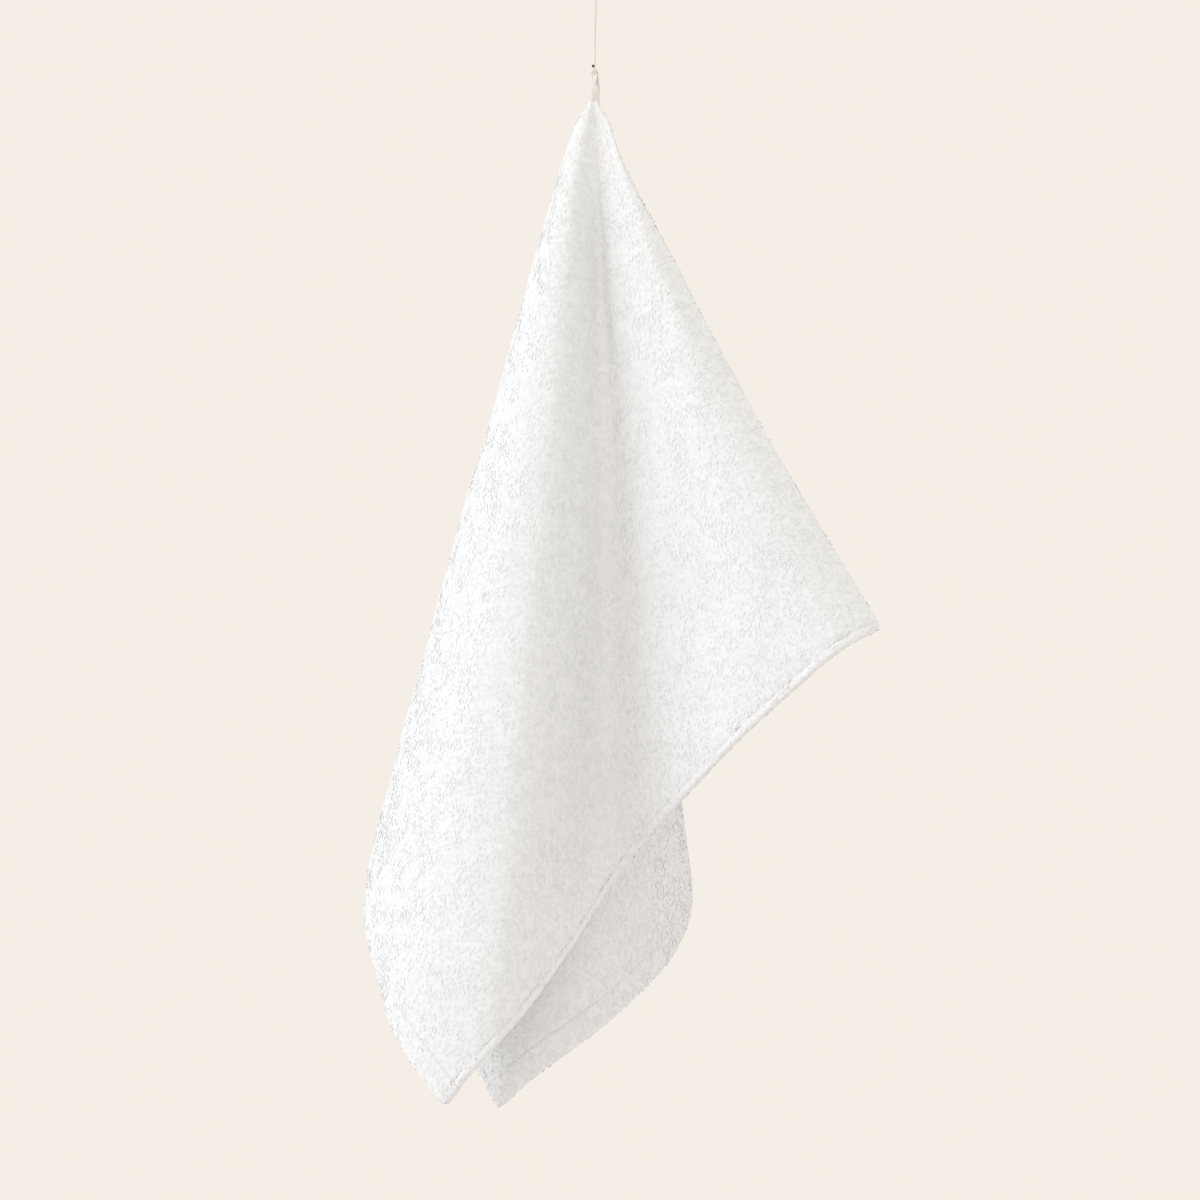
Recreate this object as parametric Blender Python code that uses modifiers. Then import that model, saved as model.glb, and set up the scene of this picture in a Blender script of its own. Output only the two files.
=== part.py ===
"""Face towel hanging by its tape loop from a wire hook. Metres, +Z up.

The origin is the middle of the button's flat top, where the hook is held. +X is to the viewer's right and -Y is
towards the viewer.
"""

import math

import bmesh
import bpy
import numpy as np

MM = 0.001
COLLECTION_NAME = "face_towel_on_hook"

# Towel, laid flat
TOWEL_LENGTH = 500 * MM
TOWEL_WIDTH = 300 * MM
PILE_THICKNESS = 3.6 * MM
PINCHED_THICKNESS = 1.6 * MM
PINCHED_RADIUS = 5 * MM
FULL_THICKNESS_RADIUS = 70 * MM
HEM_THICKNESS = 2.8 * MM
TIGHT_BEND_SHARE = 1.4
BEND_REACHES = (1.2, 2.6)
HEM_SHARES = (0.963, 0.987, 1.0)

# Where the loop is sewn to the middle of the towel's long side
SEWN_POINT = (-0.9 * MM, 0.0, -51 * MM)
NOTCH_RADIUS = 1 * MM
STRAIGHT_RADIUS = 35 * MM

# Folds of the hung towel, in order along its lower edges. Each row is a line of cloth that runs down from the loop:
# its angle on the flat towel, round the sewn point from the long side's right half, its bearing to the right and its
# lean towards the viewer, where its pinched top lies beside the sewn point, where its straight run would start beside
# that point, and how far its middle sways to the right.
FOLD_COLUMNS = (
    "name", "flat_deg", "bearing_deg", "lean_deg",
    "top_right_mm", "top_back_mm", "start_right_mm", "start_back_mm", "sway_mm",
)
FOLDS = (
    ("right_corner", 0.0, 27.2, 24.4, 2.6, -5.6, 0.0, -6.0, -5.0),
    ("right_panel_edge", 4.8, 22.3, 23.1, 2.2, -5.6, 0.8, -6.2, -4.0),
    ("right_panel_ridge", 10.3, 17.4, 20.2, 1.8, -5.6, 1.3, -6.5, -2.0),
    ("right_panel_dip", 16.8, 12.4, 16.4, 1.4, -5.6, 1.4, -6.8, -1.0),
    ("right_panel_inner", 22.0, 8.6, 12.2, 1.0, -5.6, 1.1, -7.1, 0.0),
    ("valley_right_wall", 27.4, 4.9, 7.8, 0.6, -5.6, 0.3, -7.4, 1.0),
    ("valley_floor", 33.2, 1.9, 3.4, 0.1, -5.6, -0.7, -7.6, 2.0),
    ("valley_turn", 38.6, -0.4, 4.0, -0.4, -5.6, -1.9, -7.6, 2.0),
    ("valley_left_wall", 42.5, -2.3, 6.8, -0.9, -5.6, -3.1, -7.4, 1.0),
    ("crown", 46.1, -4.5, 9.2, -1.4, -5.6, -4.0, -7.0, 0.5),
    ("lower_left_corner", 50.2, -7.7, 8.0, -2.1, -5.4, -4.9, -6.2, 0.0),
    ("left_panel", 54.8, -11.0, 4.9, -2.9, -4.9, -5.4, -4.6, 0.0),
    ("left_panel_outer", 58.8, -12.6, 1.4, -3.5, -4.0, -5.3, -2.5, 0.0),
    ("left_fold", 64.4, -15.0, -3.6, -3.8, -2.4, -4.9, -0.2, 0.0),
    ("left_fold_back", 72.3, -14.9, -11.0, -3.8, 0.0, -4.1, 2.0, 0.0),
    ("back_left", 77.2, -10.1, -10.9, -3.3, 2.2, -3.0, 4.0, 0.0),
    ("back_ridge", 83.9, -3.8, -12.9, -2.2, 3.5, -1.8, 5.4, 0.0),
    ("back_groove", 91.6, -2.2, -5.8, -0.9, 3.9, -0.6, 6.0, 0.0),
    ("back_right", 96.6, 2.1, -7.9, 0.4, 3.9, 0.5, 6.2, 0.0),
    ("right_fold_back", 103.5, 4.2, -14.0, 1.6, 3.8, 1.3, 6.0, 0.0),
    ("right_fold", 106.6, 6.1, -11.6, 2.4, 3.1, 1.7, 5.4, 0.0),
    ("right_fold_front", 114.6, 5.6, -4.0, 2.3, 2.1, 1.6, 4.6, 0.0),
    ("inner_panel", 121.5, 1.6, 1.4, 1.3, 1.5, 1.1, 4.0, 0.0),
    ("lower_middle_corner", 129.8, -5.6, 4.2, 0.1, 1.5, 0.5, 3.2, 0.0),
    ("inner_panel_left", 132.7, -7.4, 1.9, -0.9, 1.4, -0.1, 2.2, 0.0),
    ("inner_turn", 139.0, -12.4, -1.4, -1.6, 0.5, -0.6, 0.9, 0.0),
    ("flap_left", 143.2, -11.9, 2.7, -1.3, -0.5, -0.7, -0.3, 0.0),
    ("flap_crown", 150.5, -6.8, 7.7, -0.2, -0.9, -0.5, -0.9, 0.0),
    ("flap_slope", 157.6, -1.0, 3.9, 0.5, -0.9, 0.1, -1.1, 0.0),
    ("flap_valley", 164.5, 5.0, 0.9, 1.0, -0.9, 0.8, -1.0, 0.0),
    ("flap_rise", 169.6, 6.6, 5.7, 1.5, -0.9, 1.4, -0.7, 0.0),
    ("flap_ridge", 172.8, 8.8, 8.0, 2.0, -0.9, 1.9, -0.4, 0.0),
    ("flap_corner", 180.0, 11.5, 1.7, 2.6, -0.9, 2.3, -0.1, 0.0),
)
PATH_SAMPLES = 1441

# Towel mesh: steps round the sewn point for each flat panel, and rings from it to the hem
PANEL_STEPS = (30, 48, 30)
PILE_RINGS = 20
RING_CROWDING = 1.35

# Wire hook
WIRE_DIAMETER = 0.8 * MM
WIRE_TOP_DEPTH = 3.2 * MM
WIRE_SEAT_POINT = (-0.4 * MM, 0.0, -41.0 * MM)
SHANK_BACK = 3.4 * MM
SEAT_HALF_LENGTH = 2.0 * MM
HOOK_BEND = 1.4 * MM
TIP_POINT = (-1.0 * MM, -5.0 * MM, -38.4 * MM)
TIP_SWELL = 1.45
BEND_STEPS = 6

# Round button that the wire is fixed in
BUTTON_DIAMETER = 18 * MM
BUTTON_HEIGHT = 5 * MM
BUTTON_ROUNDING = 1.2 * MM
BUTTON_BORE_DIAMETER = 1.6 * MM
BUTTON_BORE_DEPTH = 3.2 * MM
BUTTON_SEGMENTS = 48

# Tape loop
TAPE_WIDTH = 3.2 * MM
TAPE_THICKNESS = 0.76 * MM
TAPE_TOP_OFFSET = 1.2 * MM
TAPE_LOW_OFFSET = 0.57 * MM
TAPE_CLEARANCE = 0.3 * MM
TAPE_SEWN_DEPTH = 3.3 * MM
TAPE_TWIST_SHARE = 0.67
TAPE_LEG_STEPS = 16
TAPE_ARC_STEPS = 10
TAPE_LOW_SHIFT = (0.25 * MM, -3.51 * MM)

COTTON_WHITE = (0.93, 0.93, 0.92, 1.0)
TAPE_CREAM = (0.84, 0.79, 0.73, 1.0)
WIRE_PALE = (0.80, 0.78, 0.75, 1.0)
BUTTON_WHITE = (0.86, 0.84, 0.80, 1.0)


def clear_scene():
    for obj in list(bpy.data.objects):
        bpy.data.objects.remove(obj, do_unlink=True)


def make_material(name, colour, roughness, metallic=0.0):
    material = bpy.data.materials.new(name)
    material.use_nodes = True
    shader = material.node_tree.nodes["Principled BSDF"]
    shader.inputs["Base Color"].default_value = colour
    shader.inputs["Roughness"].default_value = roughness
    shader.inputs["Metallic"].default_value = metallic
    return material


def link_mesh(name, bm, material, collection):
    """A new object from the bmesh, shaded smooth."""
    mesh = bpy.data.meshes.new(name)
    bm.to_mesh(mesh)
    bm.free()
    mesh.materials.append(material)
    mesh.shade_smooth()
    obj = bpy.data.objects.new(name, mesh)
    collection.objects.link(obj)
    return obj


def smooth_step(value):
    share = np.clip(value, 0.0, 1.0)
    return share * share * (3.0 - 2.0 * share)


def mean_slopes(chords, spans):
    """Each row's slope is the weighted mean of the chords beside it."""
    return (spans[1:] * chords[:-1] + spans[:-1] * chords[1:]) / (spans[1:] + spans[:-1])


def held_slopes(chords, spans):
    """Like mean_slopes, but flat at a row where a column turns back, so that no column passes its rows."""
    before, after = chords[:-1], chords[1:]
    limit = 2 * np.minimum(np.abs(before), np.abs(after))
    slopes = np.sign(before) * np.minimum(np.abs(mean_slopes(chords, spans)), limit)
    return np.where(before * after > 0, slopes, 0.0)


def cubic_through(rows, knots, at, slopes_of):
    """Smooth curve through the rows."""
    spans = np.diff(knots)[:, None]
    chords = np.diff(rows, axis=0) / spans
    slopes = np.concatenate([chords[:1], slopes_of(chords, spans), chords[-1:]])
    index = np.clip(np.searchsorted(knots, at, side="right") - 1, 0, len(knots) - 2)
    span = spans[index]
    u = (at - knots[index])[:, None] / span
    ends = (1 + 2 * u) * (1 - u) ** 2 * rows[index] + u * u * (3 - 2 * u) * rows[index + 1]
    return ends + span * (u * (1 - u) ** 2 * slopes[index] + u * u * (u - 1) * slopes[index + 1])


class Drape:
    """The hung towel's surface. A flat point is given by its angle round the sewn point, in degrees from the long
    side's right half, and its distance from the sewn point."""

    def __init__(self):
        columns = [FOLD_COLUMNS.index(name) for name in FOLD_COLUMNS[1:]]
        rows = np.array([[fold[column] for column in columns] for fold in FOLDS], float)
        flat = rows[:, 0]
        self.angles = np.linspace(flat[0], flat[-1], PATH_SAMPLES)
        bearing, lean = np.radians(cubic_through(rows[:, 1:3], flat, self.angles, mean_slopes)).T
        self.directions = np.stack(
            [np.cos(lean) * np.sin(bearing), -np.sin(lean), -np.cos(lean) * np.cos(bearing)], axis=1
        )
        places = cubic_through(rows[:, 3:], flat, self.angles, held_slopes) * MM
        self.tops = places[:, 0:2]
        self.starts = places[:, 2:4]
        self.sways = places[:, 4]
        self.corner_angle = math.degrees(math.atan2(TOWEL_WIDTH, TOWEL_LENGTH / 2))

    def read(self, values, angle):
        return np.array([np.interp(angle, self.angles, column) for column in np.atleast_2d(values.T)])

    def edge_distance(self, angle):
        """How far the flat towel reaches from the sewn point at this angle."""
        turn = math.radians(angle)
        if self.corner_angle <= angle <= 180.0 - self.corner_angle:
            return TOWEL_WIDTH / math.sin(turn)
        return TOWEL_LENGTH / 2 / abs(math.cos(turn))

    def point(self, angle, distance):
        spread = float(smooth_step((distance - NOTCH_RADIUS) / (STRAIGHT_RADIUS - NOTCH_RADIUS)))
        right, back = self.read(self.tops, angle) * (1 - spread) + self.read(self.starts, angle) * spread
        right += self.read(self.sways, angle)[0] * math.sin(math.pi * distance / self.edge_distance(angle))
        direction = self.read(self.directions, angle)
        direction /= np.linalg.norm(direction)
        return np.array(SEWN_POINT) + np.array([right, back, 0.0]) + distance * direction

    def bend_radius(self, angle, distance, reach):
        """Radius of the bend here, across the fold: that of the circle through three points of it."""
        middle = min(max(angle, reach), 180.0 - reach)
        before, here, after = (self.point(middle + turn, distance)[:2] for turn in (-reach, 0.0, reach))
        first, second, whole = here - before, after - here, after - before
        area = abs(first[0] * second[1] - first[1] * second[0])
        sides = np.linalg.norm(first) * np.linalg.norm(second) * np.linalg.norm(whole)
        return sides / (2 * area + 1e-15)


def step_angles(corner_angle):
    """Flat angles of the mesh's columns, with one column on each corner."""
    turns = (corner_angle, 180.0 - 2 * corner_angle, corner_angle)
    angles = [0.0]
    for turn, count in zip(turns, PANEL_STEPS):
        first = angles[-1]
        angles += [first + turn * step / count for step in range(1, count + 1)]
    return angles


def ring_share(row):
    """How far out a ring lies: 0 at the sewn point's notch and 1 at the towel's edge."""
    if row > PILE_RINGS:
        return HEM_SHARES[row - PILE_RINGS]
    return HEM_SHARES[0] * (row / PILE_RINGS) ** RING_CROWDING


def cloth_thickness(distance, share, bend_radius):
    """Pinched at the loop and in tight bends, full over the pile, and pressed flat at the sewn hem."""
    grown = smooth_step((distance - PINCHED_RADIUS) / (FULL_THICKNESS_RADIUS - PINCHED_RADIUS))
    pile = PINCHED_THICKNESS + (PILE_THICKNESS - PINCHED_THICKNESS) * float(grown)
    loose = HEM_THICKNESS if share > HEM_SHARES[0] else pile
    return min(loose, TIGHT_BEND_SHARE * bend_radius)


def make_towel(drape, material, collection):
    angles = step_angles(drape.corner_angle)
    columns = len(angles) - 1
    rows = PILE_RINGS + len(HEM_SHARES) - 1
    bm = bmesh.new()
    bmesh.ops.create_grid(bm, x_segments=columns, y_segments=rows, size=1.0)
    bm.verts.ensure_lookup_table()
    thicknesses = []
    for vert in bm.verts:
        column = round((vert.co.x + 1) / 2 * columns)
        row = round((vert.co.y + 1) / 2 * rows)
        share = ring_share(row)
        angle = angles[column]
        distance = NOTCH_RADIUS + share * (drape.edge_distance(angle) - NOTCH_RADIUS)
        bend = min(drape.bend_radius(angle, distance, reach) for reach in BEND_REACHES)
        thicknesses.append(cloth_thickness(distance, share, bend))
        vert.co = drape.point(angle, distance)
    towel = link_mesh("towel", bm, material, collection)
    group = towel.vertex_groups.new(name="thickness")
    for index, thickness in enumerate(thicknesses):
        group.add([index], thickness / PILE_THICKNESS, "REPLACE")
    solidify = towel.modifiers.new("Thickness", "SOLIDIFY")
    solidify.thickness = PILE_THICKNESS
    solidify.offset = 0.0
    solidify.vertex_group = group.name
    solidify.thickness_vertex_group = 0.0
    solidify.use_rim = True
    return towel


def hook_route():
    """Middle line of the wire, from inside the button down, under the loop and up to the tip."""
    seat = np.array(WIRE_SEAT_POINT)
    top = np.array([0.0, 0.0, -BUTTON_HEIGHT + WIRE_TOP_DEPTH - TAPE_CLEARANCE])
    back = np.array([0.0, 1.0, 0.0])
    up = np.array([0.0, 0.0, 1.0])
    back_bend = seat + back * SEAT_HALF_LENGTH + up * HOOK_BEND
    front_bend = seat - back * SEAT_HALF_LENGTH + up * HOOK_BEND
    shank_foot = np.array([seat[0], SHANK_BACK, back_bend[2]])
    route = [top, top - up * BUTTON_HEIGHT]
    lean_start, lean_end = top - up * 2 * BUTTON_HEIGHT, shank_foot + up * 2 * BUTTON_HEIGHT
    for step in range(BEND_STEPS + 1):
        route.append(lean_start + (lean_end - lean_start) * float(smooth_step(step / BEND_STEPS)) * [1, 1, 0])
        route[-1][2] = lean_start[2] + (lean_end[2] - lean_start[2]) * step / BEND_STEPS
    for step in range(BEND_STEPS + 1):
        turn = math.pi / 2 * step / BEND_STEPS
        route.append(back_bend + back * HOOK_BEND * math.cos(turn) - up * HOOK_BEND * math.sin(turn))
    for step in range(BEND_STEPS + 1):
        turn = math.pi / 3 * step / BEND_STEPS
        route.append(front_bend - back * HOOK_BEND * math.sin(turn) - up * HOOK_BEND * math.cos(turn))
    tip = np.array(TIP_POINT)
    rise = route[-1]
    flare = tip + back * HOOK_BEND
    for step in range(1, BEND_STEPS + 1):
        u = step / BEND_STEPS
        route.append((1 - u) ** 2 * rise + 2 * u * (1 - u) * (flare + (flare - rise) * 0.1) + u * u * tip)
    return route


def make_hook(material, collection):
    route = hook_route()
    curve = bpy.data.curves.new("hook_wire", "CURVE")
    curve.dimensions = "3D"
    curve.bevel_depth = WIRE_DIAMETER / 2
    curve.bevel_resolution = 2
    curve.use_fill_caps = True
    spline = curve.splines.new("POLY")
    spline.points.add(len(route) - 1)
    for point, place in zip(spline.points, route):
        point.co = (*place, 1.0)
    for point in spline.points[-3:]:
        point.radius = TIP_SWELL
    spline.use_smooth = True
    curve.materials.append(material)
    hook = bpy.data.objects.new("hook_wire", curve)
    collection.objects.link(hook)
    return hook


def make_button(material, collection):
    """A turned button with a blind bore in its underside for the wire."""
    radius, bore = BUTTON_DIAMETER / 2, BUTTON_BORE_DIAMETER / 2
    profile = [(0.0, 0.0), (radius, 0.0), (radius, -BUTTON_HEIGHT + BUTTON_ROUNDING)]
    for step in range(1, BEND_STEPS + 1):
        turn = math.pi / 2 * step / BEND_STEPS
        across = radius - BUTTON_ROUNDING * (1 - math.cos(turn))
        down = -BUTTON_HEIGHT + BUTTON_ROUNDING * (1 - math.sin(turn))
        profile.append((across, down))
    bore_top = -BUTTON_HEIGHT + BUTTON_BORE_DEPTH
    profile += [(bore, -BUTTON_HEIGHT), (bore, bore_top), (0.0, bore_top)]
    bm = bmesh.new()
    verts = [bm.verts.new((across, 0.0, down)) for across, down in profile]
    for first, second in zip(verts, verts[1:]):
        bm.edges.new((first, second))
    button = link_mesh("hook_button", bm, material, collection)
    screw = button.modifiers.new("Turned", "SCREW")
    screw.steps = BUTTON_SEGMENTS
    screw.render_steps = BUTTON_SEGMENTS
    screw.use_merge_vertices = True
    screw.merge_threshold = 0.00001
    screw.use_smooth_shade = False
    return button


def tape_route():
    """Middle line of the folded tape and the direction across its width: down one leg, twisting a quarter turn."""
    seat = np.array(WIRE_SEAT_POINT)
    arc_height = seat[2]
    low = SEWN_POINT[2] - TAPE_SEWN_DEPTH
    legs = []
    for side in (1, -1):
        leg = []
        for step in range(TAPE_LEG_STEPS + 1):
            fall = step / TAPE_LEG_STEPS
            eased = float(smooth_step(fall / TAPE_TWIST_SHARE))
            turn = math.pi / 2 * eased
            offset = TAPE_TOP_OFFSET + (TAPE_LOW_OFFSET - TAPE_TOP_OFFSET) * eased
            away = np.array([math.cos(turn), math.sin(turn), 0.0])
            across = np.array([-math.sin(turn), math.cos(turn), 0.0])
            middle = np.array([seat[0] + TAPE_LOW_SHIFT[0] * eased, TAPE_LOW_SHIFT[1] * eased, 0.0])
            middle[2] = arc_height + (low - arc_height) * fall
            leg.append((middle + side * offset * away, across))
        legs.append(leg)
    arc = []
    for step in range(1, TAPE_ARC_STEPS):
        turn = math.pi * step / TAPE_ARC_STEPS
        round_top = np.array([TAPE_TOP_OFFSET * math.cos(turn), 0.0, TAPE_TOP_OFFSET * math.sin(turn)])
        arc.append((seat + round_top, np.array([0.0, 1.0, 0.0])))
    return legs[0][::-1] + arc + legs[1]


def make_loop(material, collection):
    route = tape_route()
    bm = bmesh.new()
    rails = []
    for middle, across in route:
        rails.append([bm.verts.new(middle + across * TAPE_WIDTH * share) for share in (-0.5, 0.0, 0.5)])
    for first, second in zip(rails, rails[1:]):
        for side in (0, 1):
            bm.faces.new((first[side], first[side + 1], second[side + 1], second[side]))
    loop = link_mesh("hanging_loop", bm, material, collection)
    solidify = loop.modifiers.new("Thickness", "SOLIDIFY")
    solidify.thickness = TAPE_THICKNESS
    solidify.offset = 0.0
    solidify.use_rim = True
    return loop


def main():
    clear_scene()
    collection = bpy.data.collections.new(COLLECTION_NAME)
    bpy.context.scene.collection.children.link(collection)
    make_towel(Drape(), make_material("white_terry", COTTON_WHITE, 0.95), collection)
    make_loop(make_material("cream_tape", TAPE_CREAM, 0.85), collection)
    make_hook(make_material("pale_wire", WIRE_PALE, 0.35, 1.0), collection)
    make_button(make_material("white_button", BUTTON_WHITE, 0.45), collection)


main()
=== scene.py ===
"""Face towel hung by its loop from a wire hook: its cloth, pile, sewing and tape, on a plain studio stage."""

import math

import bmesh
import bpy
import numpy as np
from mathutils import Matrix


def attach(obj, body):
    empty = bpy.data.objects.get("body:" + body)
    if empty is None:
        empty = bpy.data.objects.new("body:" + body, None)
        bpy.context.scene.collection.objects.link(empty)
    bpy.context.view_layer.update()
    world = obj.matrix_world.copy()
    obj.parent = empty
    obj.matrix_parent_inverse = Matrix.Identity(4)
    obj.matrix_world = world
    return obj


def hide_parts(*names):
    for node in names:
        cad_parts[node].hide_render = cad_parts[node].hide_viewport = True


bl_info = {
    "name": "Face towel on a hook",
    "version": (1, 0, 0),
    "blender": (4, 5, 0),
    "location": "3D View > Sidebar > Face Towel",
    "description": "Builds a terry face towel on its solid's folds, with pile, hems, loop and hook finishes",
    "category": "Object",
}

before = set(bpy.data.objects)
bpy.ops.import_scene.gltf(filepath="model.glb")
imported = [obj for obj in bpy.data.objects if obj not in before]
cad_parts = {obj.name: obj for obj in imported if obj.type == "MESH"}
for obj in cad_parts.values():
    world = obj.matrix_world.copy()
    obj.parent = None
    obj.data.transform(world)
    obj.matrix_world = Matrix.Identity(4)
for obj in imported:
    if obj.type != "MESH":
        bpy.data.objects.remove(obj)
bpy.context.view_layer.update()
MM = 0.001

# Where the loop is sewn to the middle of a long side, and how far the pinched cloth reaches from there
SEWN_POINT = np.array([-0.9, 0.0, -51.0]) * MM
NOTCH_RADIUS = 1 * MM
STRAIGHT_RADIUS = 35 * MM
PINCHED_RADIUS = 5 * MM
FULL_THICKNESS_RADIUS = 70 * MM

# The cloth's top edge is gathered into a narrow tip where the tape is sewn on
GATHER_MIDDLE = -0.4 * MM
GATHER_SHARE = 0.42
GATHER_REACH = 10 * MM

# Folds of the hung towel, in order along its lower edges, with the same values as the solid. Each row is a
# line of cloth that runs down from the loop.
FOLD_COLUMNS = (
    "name", "flat_deg", "bearing_deg", "lean_deg",
    "top_right_mm", "top_back_mm", "start_right_mm", "start_back_mm", "sway_mm",
)
FOLDS = (
    ("right_corner", 0.0, 27.2, 24.4, 2.6, -5.6, 0.0, -6.0, -5.0),
    ("right_panel_edge", 4.8, 22.3, 23.1, 2.2, -5.6, 0.8, -6.2, -4.0),
    ("right_panel_ridge", 10.3, 17.4, 20.2, 1.8, -5.6, 1.3, -6.5, -2.0),
    ("right_panel_dip", 16.8, 12.4, 16.4, 1.4, -5.6, 1.4, -6.8, -1.0),
    ("right_panel_inner", 22.0, 8.6, 12.2, 1.0, -5.6, 1.1, -7.1, 0.0),
    ("valley_right_wall", 27.4, 4.9, 7.8, 0.6, -5.6, 0.3, -7.4, 1.0),
    ("valley_floor", 33.2, 1.9, 3.4, 0.1, -5.6, -0.7, -7.6, 2.0),
    ("valley_turn", 38.6, -0.4, 4.0, -0.4, -5.6, -1.9, -7.6, 2.0),
    ("valley_left_wall", 42.5, -2.3, 6.8, -0.9, -5.6, -3.1, -7.4, 1.0),
    ("crown", 46.1, -4.5, 9.2, -1.4, -5.6, -4.0, -7.0, 0.5),
    ("lower_left_corner", 50.2, -7.7, 8.0, -2.1, -5.4, -4.9, -6.2, 0.0),
    ("left_panel", 54.8, -11.0, 4.9, -2.9, -4.9, -5.4, -4.6, 0.0),
    ("left_panel_outer", 58.8, -12.6, 1.4, -3.5, -4.0, -5.3, -2.5, 0.0),
    ("left_fold", 64.4, -15.0, -3.6, -3.8, -2.4, -4.9, -0.2, 0.0),
    ("left_fold_back", 72.3, -14.9, -11.0, -3.8, 0.0, -4.1, 2.0, 0.0),
    ("back_left", 77.2, -10.1, -10.9, -3.3, 2.2, -3.0, 4.0, 0.0),
    ("back_ridge", 83.9, -3.8, -12.9, -2.2, 3.5, -1.8, 5.4, 0.0),
    ("back_groove", 91.6, -2.2, -5.8, -0.9, 3.9, -0.6, 6.0, 0.0),
    ("back_right", 96.6, 2.1, -7.9, 0.4, 3.9, 0.5, 6.2, 0.0),
    ("right_fold_back", 103.5, 4.2, -14.0, 1.6, 3.8, 1.3, 6.0, 0.0),
    ("right_fold", 106.6, 6.1, -11.6, 2.4, 3.1, 1.7, 5.4, 0.0),
    ("right_fold_front", 114.6, 5.6, -4.0, 2.3, 2.1, 1.6, 4.6, 0.0),
    ("inner_panel", 121.5, 1.6, 1.4, 1.3, 1.5, 1.1, 4.0, 0.0),
    ("lower_middle_corner", 129.8, -5.6, 4.2, 0.1, 1.5, 0.5, 3.2, 0.0),
    ("inner_panel_left", 132.7, -7.4, 1.9, -0.9, 1.4, -0.1, 2.2, 0.0),
    ("inner_turn", 139.0, -12.4, -1.4, -1.6, 0.5, -0.6, 0.9, 0.0),
    ("flap_left", 143.2, -11.9, 2.7, -1.3, -0.5, -0.7, -0.3, 0.0),
    ("flap_crown", 150.5, -6.8, 7.7, -0.2, -0.9, -0.5, -0.9, 0.0),
    ("flap_slope", 157.6, -1.0, 3.9, 0.5, -0.9, 0.1, -1.1, 0.0),
    ("flap_valley", 164.5, 5.0, 0.9, 1.0, -0.9, 0.8, -1.0, 0.0),
    ("flap_rise", 169.6, 6.6, 5.7, 1.5, -0.9, 1.4, -0.7, 0.0),
    ("flap_ridge", 172.8, 8.8, 8.0, 2.0, -0.9, 1.9, -0.4, 0.0),
    ("flap_corner", 180.0, 11.5, 1.7, 2.6, -0.9, 2.3, -0.1, 0.0),
)
PATH_SAMPLES = 1441

# Cloth mesh: columns of each flat panel, extra ones by the top side, in degrees from it, and rings of pile
PANEL_COLUMNS = (76, 122, 76)
SIDE_COLUMNS = (0.0, 0.03, 0.09, 0.18, 0.32, 0.55, 0.9, 1.4, 2.0)
PILE_RINGS = 108
RING_CROWDING = 1.2

# The last rings lie by the seam, at these distances from it, across the hem, in shares of it, and round the
# rolled edge. The towel's corners are a little rounded.
SEAM_RINGS = (2.6 * MM, 1.5 * MM, 0.9 * MM, 0.45 * MM, 0.0, -0.45 * MM, -0.9 * MM)
HEM_RINGS = (0.35, 0.70)
ROLL_RINGS = (1.3 * MM, 0.95 * MM, 0.6 * MM, 0.32 * MM, 0.12 * MM, 0.0)
CORNER_RADIUS = 4 * MM
CORNER_STEPS = 12

# The ground's least half thickness, its share of the full one where it is pinched at the loop, and the share
# of a bend's radius that it takes at most
LEAST_HALF = 0.05 * MM
PINCHED_GROUND = 0.62
BEND_SHARE = 0.75

# Where the top side's hem fills out and the rolled sides start, from the sewn point
TOP_HEM_START = 60 * MM
ROLL_START = 30 * MM
ROLL_FADE = 60 * MM

# Grooves along the seams. A narrow hem's seam opens and closes in waves: radians to the metre, and starts
# GROOVE_WIDTH is also the half width of the painted shade along the narrow hems' seams
GROOVE_WIDTH = 0.9 * MM
DEEP_GROOVE_WIDTH = 1.8 * MM
FAINT_SEAM = 0.1
# Half width of the painted shade along the wide hem's seam line
WIDE_SEAM_SHADE_WIDTH = 0.8 * MM
SEAM_GAPS = ((610.0, 0.4), (1010.0, 2.1), (270.0, 4.4))
GAP_SWING = 0.6
CLOSED_GROOVE = 0.05

# Height of the pile where it is low, in shares of its full height, and half the widths of its bare strips
PINCHED_PILE = 0.8
EDGE_PILE = 0.7
EDGE_PILE_REACH = 2.5 * MM
NARROW_HEM_PILE = 0.9
BARE_TURN = 0.45 * MM
BARE_GAP = 0.6 * MM
BARE_GAP_LOSS = 0.05 * MM
BARE_TOP_RADIUS = 2.5 * MM

# Soft dents in the hung cloth: height in mm, waves along and across a run of the flat towel, and their start
DENTS = (
    (0.55, 9.0, 14.0, 0.3),
    (0.45, -16.0, 11.0, 1.9),
    (0.35, 27.0, 19.0, 4.1),
    (0.25, -38.0, 33.0, 2.6),
    (0.18, 61.0, 47.0, 5.2),
)
DENT_RUN = 3.0
DENT_START = 40 * MM
DENT_FADE = 140 * MM

# The dents' lines wander by these radians, in waves of these radians to the metre along and across, each line
# with its own start
DENT_WANDER = 0.6
DENT_WANDER_WAVES = (17.0, -11.0)
DENT_WANDER_SHIFT = 2.3

# Creases that run down the cloth: flat angle and half width in degrees, height at the middle in mm, and where
# the crease fades in and out, in mm from the sewn point. Ridges stand out of the outer face, troughs sink in.
CREASES = (
    ("valley_top", 33.5, 4.5, -1.7, 18, 120),
    ("right_panel_ridge", 9.5, 3.2, 2.2, 90, 235),
    ("right_panel_trough", 15.5, 3.0, -1.0, 110, 235),
    ("left_panel_trough", 56.5, 2.4, -0.9, 150, 330),
    ("crown_trough", 44.0, 1.8, -0.8, 120, 300),
    ("back_trough", 80.0, 2.2, -1.2, 90, 290),
    ("back_ridge", 98.5, 2.2, 1.0, 120, 300),
    ("inner_trough", 118.0, 2.5, -0.8, 160, 300),
)
CREASE_FADE = 45 * MM

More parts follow.
